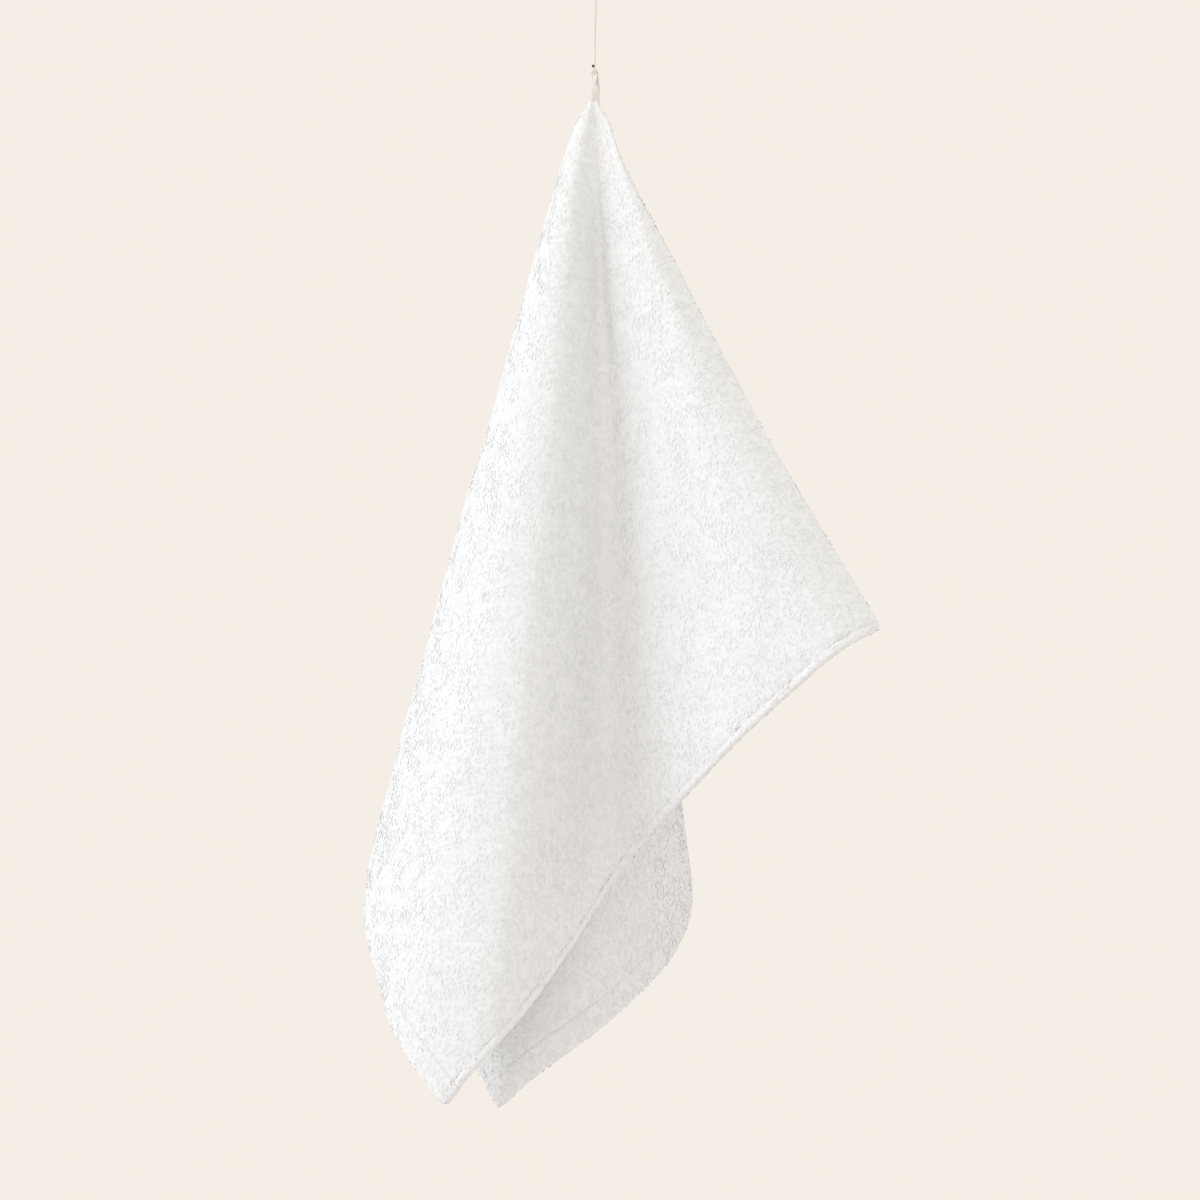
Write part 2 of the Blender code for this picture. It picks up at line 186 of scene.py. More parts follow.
# Pieces of pile: the face that each stands on, 1 outside and -1 inside, and its share of the columns
PILE_PIECES = (
    ("pile_front_right", 1, 0.0, 0.30),
    ("pile_front_left", 1, 0.30, 0.52),
    ("pile_back", 1, 0.52, 0.76),
    ("pile_flap", 1, 0.76, 1.0),
    ("pile_inner_right", -1, 0.0, 0.38),
    ("pile_inner_back", -1, 0.38, 0.68),
    ("pile_inner_left", -1, 0.68, 1.0),
)

# A tuft's cross lines: place along it in lengths, half width in widths and rise in heights. Its sides droop.
# It lies along a swirl of these turns, off by up to these radians, and is sown where this much pile stands.
TUFT_LINES = ((-0.25, 0.35, -0.35), (0.25, 0.5, 0.75))
TUFT_ARCH = ((-1, -0.35), (0, 0.25), (1, -0.35))
TUFT_TIP = (0.75, 0.45)
TUFT_SIZES = (0.72, 1.22)
TUFT_WANDER = 0.9
SWIRL_TURNS = 2.5
LEAST_PILE = 0.2

# A stitch's rings: place along it in lengths, and fullness in radii. It arches, and is sunk in the cloth.
STITCH_RINGS = ((-0.5, 0.35), (-0.34, 0.9), (0.0, 1.1), (0.34, 0.9), (0.5, 0.35))
STITCH_SIDES = 6
STITCH_COVER = 0.86
STITCH_RISE = 0.75
STITCH_ARCH = 5.0
STITCH_SINK = 0.3 * MM
STITCH_SIZES = (0.85, 1.1)

# Lines of sewing: how far they lie from a hem's turned edge and from the corners, the steps along them, and
# where those of the top side start, in widths of the wide hem from the sewn point
NARROW_SEWING = 0.3 * MM
WIDE_SEWING = 0.9 * MM
SEWING_INSET = 2 * MM
SEWING_STEP = 1.5 * MM
TOP_SEWING_START = 3.2

# Studio lamps and camera
LAMP_SIZE = 1.6
LAMP_AIM = (0.0, 0.0, -0.25)
SIDE_LAMP = (-2.4, 0.3, 0.3)
UPPER_LAMP = (-0.4, -0.9, 1.7)
FLOOR_COLOUR = (0.82, 0.78, 0.74, 1.0)
SENSOR_WIDTH = 36.0
CLIP_START = 0.05

# Tape loop, with the same route as its solid
WIRE_SEAT_POINT = np.array([-0.4, 0.0, -41.0]) * MM
TAPE_TOP_OFFSET = 1.2 * MM
TAPE_LOW_OFFSET = 0.57 * MM
TAPE_SEWN_DEPTH = 3.3 * MM
TAPE_TWIST_SHARE = 0.67
TAPE_LOW_SHIFT = (0.25 * MM, -3.51 * MM)
TAPE_LEG_STEPS = 48
TAPE_ARC_STEPS = 24

# The tape's section: a flattened round with thicker selvedges
TAPE_SIDES = 20
TAPE_FLATNESS = (0.55, 0.75)
TAPE_DEPTH = 0.46
SELVEDGE = 0.12
SELVEDGE_POWER = 6


def smooth_step(value):
    share = np.clip(value, 0.0, 1.0)
    return share * share * (3.0 - 2.0 * share)


def new_mesh_object(name, mesh):
    obj = bpy.data.objects.new(name, mesh)
    bpy.context.scene.collection.objects.link(obj)
    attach(obj, "root")
    return obj


class Drape:
    """The hung towel's surface. A flat point is given by its angle round the sewn point, in degrees from the
    long side's right half, and its distance from the sewn point."""

    def __init__(self, length, width):
        self.length, self.width = length, width
        columns = [FOLD_COLUMNS.index(name) for name in FOLD_COLUMNS[1:]]
        rows = np.array([[fold[column] for column in columns] for fold in FOLDS], float)
        flat = rows[:, 0]
        self.angles = np.linspace(flat[0], flat[-1], PATH_SAMPLES)
        bearing, lean = np.radians(self.through(rows[:, 1:3], flat, self.angles, held=False)).T
        self.directions = np.stack(
            [np.cos(lean) * np.sin(bearing), -np.sin(lean), -np.cos(lean) * np.cos(bearing)], axis=1
        )
        self.places = self.through(rows[:, 3:], flat, self.angles, held=True) * MM
        self.corner_angle = math.degrees(math.atan2(width, length / 2))

    @staticmethod
    def through(rows, knots, at, held):
        """Smooth curve through the rows. Held columns go flat where they turn back, to keep within them."""
        spans = np.diff(knots)[:, None]
        chords = np.diff(rows, axis=0) / spans
        before, after = chords[:-1], chords[1:]
        slopes = (spans[1:] * before + spans[:-1] * after) / (spans[1:] + spans[:-1])
        if held:
            limit = 2 * np.minimum(np.abs(before), np.abs(after))
            slopes = np.where(before * after > 0, np.sign(before) * np.minimum(np.abs(slopes), limit), 0.0)
        slopes = np.concatenate([chords[:1], slopes, chords[-1:]])
        index = np.clip(np.searchsorted(knots, at, side="right") - 1, 0, len(knots) - 2)
        span = spans[index]
        u = (at - knots[index])[:, None] / span
        ends = (1 + 2 * u) * (1 - u) ** 2 * rows[index] + u * u * (3 - 2 * u) * rows[index + 1]
        return ends + span * (u * (1 - u) ** 2 * slopes[index] + u * u * (u - 1) * slopes[index + 1])

    def read(self, table, angles):
        return np.stack([np.interp(angles, self.angles, column) for column in table.T], axis=-1)

    def edge_distance(self, angles):
        """How far the flat towel reaches from the sewn point at these angles."""
        turn = np.radians(angles)
        inside = (angles >= self.corner_angle) & (angles <= 180.0 - self.corner_angle)
        side = self.length / 2 / np.maximum(np.abs(np.cos(turn)), 1e-9)
        return np.where(inside, self.width / np.maximum(np.sin(turn), 1e-9), side)

    def points(self, angles, distances):
        spread = smooth_step((distances - NOTCH_RADIUS) / (STRAIGHT_RADIUS - NOTCH_RADIUS))[..., None]
        places = self.read(self.places, angles)
        across = places[..., 0:2] * (1 - spread) + places[..., 2:4] * spread
        sway = places[..., 4] * np.sin(np.pi * distances / self.edge_distance(angles))
        directions = self.read(self.directions, angles)
        directions /= np.linalg.norm(directions, axis=-1, keepdims=True)
        place = SEWN_POINT + distances[..., None] * directions
        place[..., 0] += across[..., 0] + sway
        place[..., 1] += across[..., 1]
        return place


class ClothGrid:
    """The draped cloth as a grid of columns, round the sewn point, and rings, from it to the hem."""

    def __init__(self, settings):
        self.settings = settings
        drape = Drape(settings.flat_length, settings.flat_width)
        self.angles = self.column_angles(drape.corner_angle)
        self.distance = distance = self.ring_distances(drape)
        self.angle_grid = np.repeat(self.angles[:, None], distance.shape[1], axis=1)
        turn = np.radians(self.angle_grid)
        self.flat = np.stack([distance * np.cos(turn), distance * np.sin(turn)], axis=-1)
        self.middle = drape.points(self.angle_grid, distance)
        spread = smooth_step((distance - NOTCH_RADIUS) / GATHER_REACH)
        gathered = GATHER_SHARE + (1 - GATHER_SHARE) * spread
        self.middle[..., 0] = GATHER_MIDDLE + (self.middle[..., 0] - GATHER_MIDDLE) * gathered
        self.normal = self.surface_normal(self.middle)
        relief = self.dents() + self.creases() - self.rolled_sides()
        self.middle = self.middle + self.normal * relief[..., None]
        self.normal = self.surface_normal(self.middle)
        self.half = self.half_thickness()

    def column_angles(self, corner):
        """Angles of the columns, the same from both ends of the top side, with one on each lower corner."""
        outer = np.linspace(SIDE_COLUMNS[-1], corner, PANEL_COLUMNS[0] + 1)[1:]
        lower = np.linspace(corner, 180.0 - corner, PANEL_COLUMNS[1] + 1)[1:-1]
        first = np.concatenate([SIDE_COLUMNS, outer])
        return np.concatenate([first, lower, 180.0 - first[::-1]])

    def ring_distances(self, drape):
        """Each column's rings, from the sewn point out. The hem's rings run even with the towel's edges."""
        settings = self.settings
        reach = self.blunt_corners(drape.edge_distance(self.angles))[:, None]
        lower = (self.angles >= drape.corner_angle) & (self.angles <= 180.0 - drape.corner_angle)
        side = np.where(lower, settings.flat_width, settings.flat_length / 2)[:, None]
        hem = np.where(lower, settings.wide_hem, settings.narrow_hem)[:, None]
        by_seam = hem + np.array(SEAM_RINGS)[None, :]
        rolled = np.repeat(np.array(ROLL_RINGS)[None, :], len(self.angles), axis=0)
        last, first = by_seam[:, -1:], rolled[:, :1]
        across = last + (first - last) * np.array(HEM_RINGS)[None, :]
        outer = reach * (1 - np.concatenate([by_seam, across, rolled], axis=1) / side)
        share = (np.arange(PILE_RINGS) / PILE_RINGS) ** RING_CROWDING
        pile = NOTCH_RADIUS + share[None, :] * (outer[:, :1] - NOTCH_RADIUS)
        return np.concatenate([pile, outer], axis=1)

    def blunt_corners(self, reach):
        """Draws the columns in where they end at one of the towel's corners."""
        turn = np.radians(self.angles)
        half_width = self.settings.flat_width / 2
        straight = np.array([self.settings.flat_length / 2, half_width]) - CORNER_RADIUS
        for _ in range(CORNER_STEPS):
            from_middle = np.stack([reach * np.cos(turn), reach * np.sin(turn) - half_width], axis=1)
            past = np.maximum(np.abs(from_middle) - straight, 0.0)
            reach = reach - np.maximum(np.linalg.norm(past, axis=1) - CORNER_RADIUS, 0.0)
        return reach

    @staticmethod
    def surface_normal(place):
        normal = np.cross(np.gradient(place, axis=0), np.gradient(place, axis=1))
        return normal / np.maximum(np.linalg.norm(normal, axis=-1, keepdims=True), 1e-12)

    def edge_distances(self):
        """How far each flat place is from the short sides, the lower side and the top side."""
        right, down = self.flat[..., 0], self.flat[..., 1]
        return self.settings.flat_length / 2 - np.abs(right), self.settings.flat_width - down, down

    def dents(self):
        right, down = self.flat[..., 0], self.flat[..., 1]
        height = np.zeros_like(right)
        wander = DENT_WANDER_WAVES[0] * right + DENT_WANDER_WAVES[1] * down
        for tall, along, across, start in DENTS:
            bend = DENT_WANDER * np.sin(DENT_WANDER_SHIFT * start + wander)
            height += tall * np.sin(2 * np.pi * (along * right + across * down) / DENT_RUN + start + bend)
        return height * MM * smooth_step((self.distance - DENT_START) / DENT_FADE)

    def creases(self):
        height = np.zeros_like(self.distance)
        for _, angle, half_width, tall, near, far in CREASES:
            across = np.exp(-((self.angle_grid - angle) / half_width) ** 2)
            started = smooth_step((self.distance - near * MM) / CREASE_FADE)
            ended = smooth_step((far * MM - self.distance) / CREASE_FADE)
            height += tall * MM * across * started * ended
        return height

    def rolled_sides(self):
        """How far the wide hems roll back behind the outer face."""
        _, lower, top = self.edge_distances()
        far = smooth_step((self.distance - ROLL_START) / ROLL_FADE)
        deep = np.where(self.flat[..., 0] > 0, self.settings.outer_roll, self.settings.lower_roll)
        roll = deep * np.clip(1 - top / self.settings.roll_width, 0.0, 1.0) ** 2
        roll += self.settings.lower_roll * np.clip(1 - lower / self.settings.roll_width, 0.0, 1.0) ** 2
        return roll * far

    def seam_open(self, along):
        """Where a narrow hem's seam gapes, from 0 to 1, along the seam."""
        wave = sum(np.sin(rate * along + start) for rate, start in SEAM_GAPS)
        return smooth_step(0.5 + GAP_SWING * wave)

    def unpinched(self):
        """From 0 at the loop to 1 where the cloth has its full thickness."""
        return smooth_step((self.distance - PINCHED_RADIUS) / (FULL_THICKNESS_RADIUS - PINCHED_RADIUS))

    def bend_radius(self):
        """Radius of each bend across the fold, as that of the circle through three columns of it."""
        least = np.full(self.distance.shape, 1.0)
        for reach in (2, 4):
            before = self.middle[:-2 * reach, :, :2]
            here = self.middle[reach:-reach, :, :2]
            after = self.middle[2 * reach:, :, :2]
            first, second = here - before, after - here
            area = np.abs(first[..., 0] * second[..., 1] - first[..., 1] * second[..., 0])
            sides = np.linalg.norm(first, axis=-1) * np.linalg.norm(second, axis=-1)
            sides *= np.linalg.norm(after - before, axis=-1)
            least[reach:-reach] = np.minimum(least[reach:-reach], sides / (2 * area + 1e-15))
        return least

    def half_thickness(self):
        """Half of the ground's thickness: pinched at the loop and in tight bends, fuller in the hems, grooved
        along the narrow hems' seams and rolled round the edges."""
        settings = self.settings
        grown = self.unpinched()
        half = 0.5 * settings.ground_thickness * (PINCHED_GROUND + (1 - PINCHED_GROUND) * grown)
        short, lower, top = self.edge_distances()
        full = 0.5 * settings.hem_thickness * grown
        half = np.where((short < settings.narrow_hem) | (lower < settings.wide_hem), full, half)
        top_hem = (top < settings.wide_hem) & (self.distance > TOP_HEM_START)
        half = np.where(top_hem, np.maximum(full, half), half)
        gaping = CLOSED_GROOVE + (1 - CLOSED_GROOVE) * self.seam_open(self.flat[..., 1])
        groove = np.exp(-((short - settings.narrow_hem) / GROOVE_WIDTH) ** 2)
        half *= 1 - settings.groove_depth * gaping * groove
        half = np.minimum(half, BEND_SHARE * self.bend_radius())
        least = np.minimum(np.minimum(short, lower), top)
        inside = np.clip(least / np.maximum(half, LEAST_HALF), 0.0, 1.0)
        return np.maximum(half * np.sqrt(1 - (1 - inside) ** 2), LEAST_HALF)

    def pile_share(self, side):
        """How tall the pile stands at each point of a face: less where the cloth is pinched, at its edges and
        on the narrow hems. There is none where their seams gape or, inside, at the wide hem's turned edge."""
        settings = self.settings
        share = PINCHED_PILE + (1 - PINCHED_PILE) * self.unpinched()
        short, lower, top = self.edge_distances()
        least = np.minimum(np.minimum(short, lower), top)
        share *= EDGE_PILE + (1 - EDGE_PILE) * smooth_step(least / EDGE_PILE_REACH)
        share = np.where(short < settings.narrow_hem, NARROW_HEM_PILE * share, share)
        bare = BARE_GAP * self.seam_open(self.flat[..., 1]) - BARE_GAP_LOSS
        share = np.where(np.abs(short - settings.narrow_hem) < bare, 0.0, share)
        if side < 0:
            share = np.where(np.abs(lower - settings.wide_hem) < BARE_TURN, 0.0, share)
        return np.where(self.distance < BARE_TOP_RADIUS, 0.0, share)

    def face(self, side):
        """The points of one face of the cloth: side is 1 for the outer face and -1 for the inner one, where
        the wide hem is turned over, so that it stands out behind a deeper line."""
        wide_hem = self.settings.wide_hem
        lower = self.edge_distances()[1]
        width, depth, bulge = GROOVE_WIDTH, FAINT_SEAM, 0.0
        if side < 0:
            width, depth = DEEP_GROOVE_WIDTH, 1.0
            bulge = self.settings.hem_bulge * np.sin(math.pi * np.clip(lower / wide_hem, 0.0, 1.0))
        seam = self.settings.groove_depth * depth * np.exp(-((lower - wide_hem) / width) ** 2)
        return self.middle + side * (self.half * (1 - seam) + bulge)[..., None] * self.normal

    def mesh(self, name, sides, first, last):
        """Mesh of the cloth's faces on these sides and columns, with flat places as its UV map. With both
        sides it is closed round its edge."""
        mesh = bpy.data.meshes.new(name)
        rings = self.distance.shape[1]
        count = last - first
        column, ring = np.meshgrid(np.arange(count - 1), np.arange(rings - 1), indexing="ij")
        corner = (column * rings + ring).reshape(-1)
        quad = np.stack([corner, corner + rings, corner + rings + 1, corner + 1], axis=1)
        verts, quads, flats, pile = [], [], [], []
        for side in sides:
            start = len(verts) * count * rings
            quads.append(start + (quad if side > 0 else quad[:, ::-1]))
            verts.append(self.face(side)[first:last].reshape(-1, 3))
            flats.append(self.flat[first:last].reshape(-1, 2))
            pile.append(self.pile_share(side)[first:last].reshape(-1))
        if len(sides) == 2:
            quads.append(self.rim(count * rings, rings))
        mesh.from_pydata(np.concatenate(verts).tolist(), [], np.concatenate(quads).tolist())
        flat = np.concatenate(flats)
        uv = mesh.uv_layers.new(name="flat")
        loops = np.empty(len(mesh.loops), int)
        mesh.loops.foreach_get("vertex_index", loops)
        uv.data.foreach_set("uv", flat[loops].reshape(-1))
        attribute = mesh.attributes.new("pile", "FLOAT", "POINT")
        attribute.data.foreach_set("value", np.concatenate(pile))
        mesh.shade_smooth()
        mesh.update()
        return mesh

    def rim(self, inner_start, rings):
        """Quads that close the cloth's edge between its outer and its inner face."""
        columns = len(self.angles)
        ring_path = [column * rings + rings - 1 for column in range(columns)]
        left = [(columns - 1) * rings + ring for ring in range(rings - 2, -1, -1)]
        notch = [column * rings for column in range(columns - 2, -1, -1)]
        right = list(range(1, rings - 1))
        path = np.array(ring_path + left + notch + right)
        following = np.roll(path, -1)
        return np.stack([path, following, following + inner_start, path + inner_start], axis=1)

    def on_face(self, flat_points, side):
        """The points of one face of the cloth at these flat places, in metres."""
        flat_points = np.asarray(flat_points)
        angle = np.degrees(np.arctan2(flat_points[:, 1], flat_points[:, 0]))
        distance = np.hypot(flat_points[:, 0], flat_points[:, 1])
        face = self.face(side)
        column = np.interp(angle, self.angles, np.arange(len(self.angles)))
        column = np.clip(column, 0, len(self.angles) - 1.001)
        low = column.astype(int)
        part = (column - low)[:, None]
        found = []
        for index, reach in enumerate(distance):
            pair = []
            for line in (low[index], low[index] + 1):
                ring = self.distance[line]
                pair.append([np.interp(reach, ring, face[line, :, axis]) for axis in range(3)])
            found.append(pair)
        found = np.array(found)
        return found[:, 0] * (1 - part) + found[:, 1] * part


class Tree:
    """A node tree under construction."""

    def __init__(self, tree):
        self.tree = tree
        self.tree.nodes.clear()

    def add(self, kind, settings=None, inputs=None):
        """A node of this type: its settings come first, then the values or links of its sockets."""
        node = self.tree.nodes.new(kind)
        for name, value in (settings or {}).items():
            setattr(node, name, value)
        for name, value in (inputs or {}).items():
            socket = node.inputs[name]
            if isinstance(value, Number):
                value = value.socket
            if isinstance(value, bpy.types.NodeSocket):
                self.tree.links.new(value, socket)
            else:
                socket.default_value = value
        return node


class Number:
    """A number socket that plain arithmetic adds Math nodes to."""

    def __init__(self, tree, socket):
        self.tree, self.socket = tree, socket

    def _math(self, operation, first, second=None):
        inputs = {0: first} if second is None else {0: first, 1: second}
        node = self.tree.add("ShaderNodeMath", {"operation": operation}, inputs)
        return Number(self.tree, node.outputs[0])

    def __add__(self, other):
        return self._math("ADD", self, other)

    def __radd__(self, other):
        return self._math("ADD", other, self)

    def __sub__(self, other):
        return self._math("SUBTRACT", self, other)

    def __rsub__(self, other):
        return self._math("SUBTRACT", other, self)

    def __mul__(self, other):
        return self._math("MULTIPLY", self, other)

    def __rmul__(self, other):
        return self._math("MULTIPLY", other, self)

    def __truediv__(self, other):
        return self._math("DIVIDE", self, other)

    def sine(self):
        return self._math("SINE", self)

    def absolute(self):
        return self._math("ABSOLUTE", self)

    def above(self, edge):
        return self._math("GREATER_THAN", self, edge)

    def clamped(self):
        return self._math("MINIMUM", self._math("MAXIMUM", self, 0.0), 1.0)


class Finish(Tree):
    """A procedural material on a Principled shader."""

    def __init__(self, name, constants):
        self.material = bpy.data.materials.new(name)
        self.material.use_nodes = True
        super().__init__(self.material.node_tree)
        self.shader = self.add("ShaderNodeBsdfPrincipled", None, constants)
        self.add("ShaderNodeOutputMaterial", None, {"Surface": self.shader.outputs["BSDF"]})

    def place(self):
        return self.add("ShaderNodeTexCoord").outputs["Object"]

    def flat_place(self):
        node = self.add("ShaderNodeUVMap", {"uv_map": "flat"})
        parts = self.add("ShaderNodeSeparateXYZ", None, {0: node.outputs["UV"]})
        return Number(self, parts.outputs["X"]), Number(self, parts.outputs["Y"])

    def noise(self, scale, detail=3.0, roughness=0.55, at=None):
        node = self.add(
            "ShaderNodeTexNoise", None,
            {"Vector": at or self.place(), "Scale": scale, "Detail": detail, "Roughness": roughness},
        )
        return Number(self, node.outputs["Fac"])

    def mixed(self, share, low, high):
        """A colour between two others, each a plain colour or another node's output."""
        node = self.add("ShaderNodeMix", {"data_type": "RGBA"}, {"Factor": share})
        for name, value in (("A", low), ("B", high)):
            socket = next(s for s in node.inputs if s.name == name and s.type == "RGBA")
            if isinstance(value, bpy.types.NodeSocket):
                self.tree.links.new(value, socket)
            else:
                socket.default_value = value
        return next(s for s in node.outputs if s.type == "RGBA")

    def colour(self, share, low, high):
        self.link_shader("Base Color", self.mixed(share, low, high))

    def bump(self, height, distance, strength=1.0):
        node = self.add(
            "ShaderNodeBump", None, {"Height": height, "Distance": distance, "Strength": strength},
        )
        self.link_shader("Normal", node.outputs["Normal"])

    def link_shader(self, name, value):
        socket = value.socket if isinstance(value, Number) else value
        self.tree.links.new(socket, self.shader.inputs[name])


def tinted(colour, factor):
    return (colour[0] * factor, colour[1] * factor, colour[2] * factor, 1.0)


def terry_ground_finish(settings):
    """The towel's woven ground and its hems: threads in the hems, a soft knobbly field under the pile, and
    painted shade that darkens the cloth along the seams' grooves.
    """
    finish = Finish("terry_ground", {"Roughness": 0.9, "Sheen Weight": 0.3, "Sheen Roughness": 0.55})
    right, down = finish.flat_place()
    past_seam = right.absolute() - (settings.flat_length / 2 - settings.narrow_hem)
    hem = past_seam.above(0.0)
    # Painted shade along the seams: the seam masks below darken the colour where the grooves lie, and noise
    # breaks it up along the narrow seams
    narrow_seam_shade = 1 - past_seam.absolute() / GROOVE_WIDTH
    wide_seam_shade = 1 - (down - (settings.flat_width - settings.wide_hem)).absolute() / WIDE_SEAM_SHADE_WIDTH
    seam_shade_shown = (finish.noise(260.0, detail=2.0) * 4.0 - 1.4).clamped()
    seam = (narrow_seam_shade.clamped() * seam_shade_shown + wide_seam_shade.clamped() * 0.8).clamped()
    across = (right * (2 * math.pi / settings.thread_pitch)).sine()
    along = (down * (2 * math.pi / settings.thread_pitch)).sine()
    threads = across * along
    patches = finish.noise(45.0, detail=2.0)
    fuzz = finish.noise(1400.0, detail=3.0, roughness=0.6)
    shade = ((patches * 0.04 + fuzz * 0.04 + 0.94 + threads * hem * 0.03) * (1 - seam)).clamped()
    cotton = settings.cotton_colour
    # Deep in a seam the colour falls to the painted seam shade's tone
    finish.colour(shade, low=tinted(cotton, settings.seam_shade_tone), high=tinted(cotton, 1.01))
    finish.link_shader("Roughness", 0.82 + fuzz * 0.16)
    finish.bump(threads * hem * 0.5 + fuzz, distance=0.15 * MM, strength=0.5)
    return finish.material


def terry_pile_finish(settings):
    """The brushed cotton of the pile."""
    finish = Finish("terry_pile", {"Roughness": 0.95, "Sheen Weight": 0.3, "Sheen Roughness": 0.55})
    patches = finish.noise(38.0, detail=2.0)
    fuzz = finish.noise(900.0, detail=3.0, roughness=0.65)
    cotton = settings.cotton_colour
    shade = (patches * 0.55 + fuzz * 0.45).clamped()
    finish.colour(shade, low=tinted(cotton, 0.955), high=tinted(cotton, 1.03))
    finish.link_shader("Roughness", 0.85 + fuzz * 0.12)
    finish.bump(finish.noise(2600.0, detail=2.0, roughness=0.6), distance=0.1 * MM, strength=0.4)
    return finish.material


def thread_finish(settings):
    """Cotton sewing thread, with its twist."""
    finish = Finish("hem_thread", {"Roughness": 0.7, "Sheen Weight": 0.2})
    fuzz = finish.noise(2200.0, detail=2.0)
    finish.colour(fuzz, low=tinted(settings.cotton_colour, 0.97), high=tinted(settings.cotton_colour, 1.0))
    finish.bump(fuzz, distance=0.1 * MM, strength=0.6)
    return finish.material


def tape_finish(settings):
    """A cream tape with fine ribs along it and weft across them."""
    finish = Finish("woven_tape", {"Roughness": 0.85, "Sheen Weight": 0.2})
    across, along = finish.flat_place()
    ribs = (across * (2 * math.pi / settings.rib_pitch)).sine()
    weft = (along * (2 * math.pi / settings.weft_pitch)).sine()
    fuzz = finish.noise(3000.0, detail=2.0)
    weave = (ribs * weft) * 0.5 + 0.5
    cream = settings.tape_colour
    shade = (weave * 0.6 + fuzz * 0.4).clamped()
    finish.colour(shade, low=tinted(cream, 0.94), high=tinted(cream, 1.02))
    finish.link_shader("Roughness", 0.75 + fuzz * 0.2)
    finish.bump(weave + fuzz * 0.4, distance=0.12 * MM, strength=0.9)
    return finish.material


def wire_finish(settings):
    """Pale coated wire with faint drawing marks, dark at its cut end."""
    finish = Finish("coated_wire", {"Roughness": 0.35, "Metallic": 0.0, "Coat Roughness": 0.2})
    place = finish.place()
    parts = finish.add("ShaderNodeSeparateXYZ", None, {0: place})
    stretched = finish.add("ShaderNodeMapping", None, {"Vector": place, "Scale": (1.0, 1.0, 0.08)})
    marks = finish.noise(5000.0, detail=2.0, at=stretched.outputs["Vector"])
    in_front = Number(finish, parts.outputs["Y"]) * -1.0
    coat = settings.wire_colour
    pale = finish.mixed(marks * 0.35 + 0.65, low=tinted(coat, 0.82), high=tinted(coat, 1.0))
    finish.colour(in_front.above(settings.dark_end_front), low=pale, high=tinted(settings.tip_colour, 1.0))
    finish.link_shader("Roughness", 0.3 + marks * 0.2)
    finish.bump(marks, distance=0.03 * MM, strength=0.5)
    return finish.material


def button_finish(settings):
    """Moulded plastic with a fine satin grain."""
    finish = Finish("moulded_button", {"Roughness": 0.45, "Coat Weight": 0.1, "Coat Roughness": 0.3})
    grain = finish.noise(3200.0, detail=2.0)
    tone = finish.noise(140.0, detail=2.0)
    finish.colour(tone, low=tinted(settings.button_colour, 0.96), high=tinted(settings.button_colour, 1.01))
    finish.link_shader("Roughness", 0.4 + grain * 0.15)
    finish.bump(grain, distance=0.04 * MM, strength=0.5)
    return finish.material


def applied(obj, modifier):
    """Turns a Geometry Nodes result into the object's own plain mesh."""
    graph = bpy.context.evaluated_depsgraph_get()
    mesh = bpy.data.meshes.new_from_object(obj.evaluated_get(graph), depsgraph=graph)
    obj.modifiers.remove(modifier)
    old = obj.data
    obj.data = mesh
    bpy.data.meshes.remove(old)
    mesh.name = obj.name
    return obj


def soften_normals(mesh, own_share):
    """Shades the tufts as fluff: mostly by the cloth that they stand on, and a little by their own sides."""
    count = len(mesh.vertices)
    ground, own = np.empty(count * 3), np.empty(count * 3)
    mesh.attributes["ground_normal"].data.foreach_get("vector", ground)
    mesh.vertices.foreach_get("normal", own)
    mixed = (ground * (1 - own_share) + own * own_share).reshape(-1, 3)
    mixed /= np.maximum(np.linalg.norm(mixed, axis=1, keepdims=True), 1e-9)
    mesh.attributes.remove(mesh.attributes["ground_normal"])
    mesh.normals_split_custom_set_from_vertices(mixed.tolist())


def set_inputs(modifier, values):
    """Sets a modifier's named inputs by their sockets' identifiers."""
    identifiers = {
        item.name: item.identifier
        for item in modifier.node_group.interface.items_tree
        if item.item_type == "SOCKET" and item.in_out == "INPUT"
    }
    for name, value in values.items():
        modifier[identifiers[name]] = value


def geometry_tree(name, sockets):
    group = bpy.data.node_groups.new(name, "GeometryNodeTree")
    group.interface.new_socket("Geometry", in_out="INPUT", socket_type="NodeSocketGeometry")
    for socket_name, kind in sockets:
        group.interface.new_socket(socket_name, in_out="INPUT", socket_type=kind)
    group.interface.new_socket("Geometry", in_out="OUTPUT", socket_type="NodeSocketGeometry")
    tree = Tree(group)
    return group, tree, tree.add("NodeGroupInput").outputs


def random_number(tree, low, high, seed):
    node = tree.add(
        "FunctionNodeRandomValue", {"data_type": "FLOAT"}, {"Min": low, "Max": high, "Seed": seed},
    )
    return next(s for s in node.outputs if s.type == "VALUE")


def set_copies(tree, given, pattern, points, rotation, scale):
    """Ends a tree: a copy of the pattern on every point, as plain mesh with its material."""
    copied = tree.add("GeometryNodeObjectInfo", None, {"Object": given[pattern]})
    placed = tree.add(
        "GeometryNodeInstanceOnPoints", None,
        {"Points": points, "Instance": copied.outputs["Geometry"], "Rotation": rotation, "Scale": scale},
    )
    real = tree.add("GeometryNodeRealizeInstances", None, {"Geometry": placed.outputs["Instances"]})
    finished = tree.add(
        "GeometryNodeSetMaterial", None,
        {"Geometry": real.outputs["Geometry"], "Material": given["Material"]},
    )
    tree.add("NodeGroupOutput", None, {"Geometry": finished.outputs["Geometry"]})


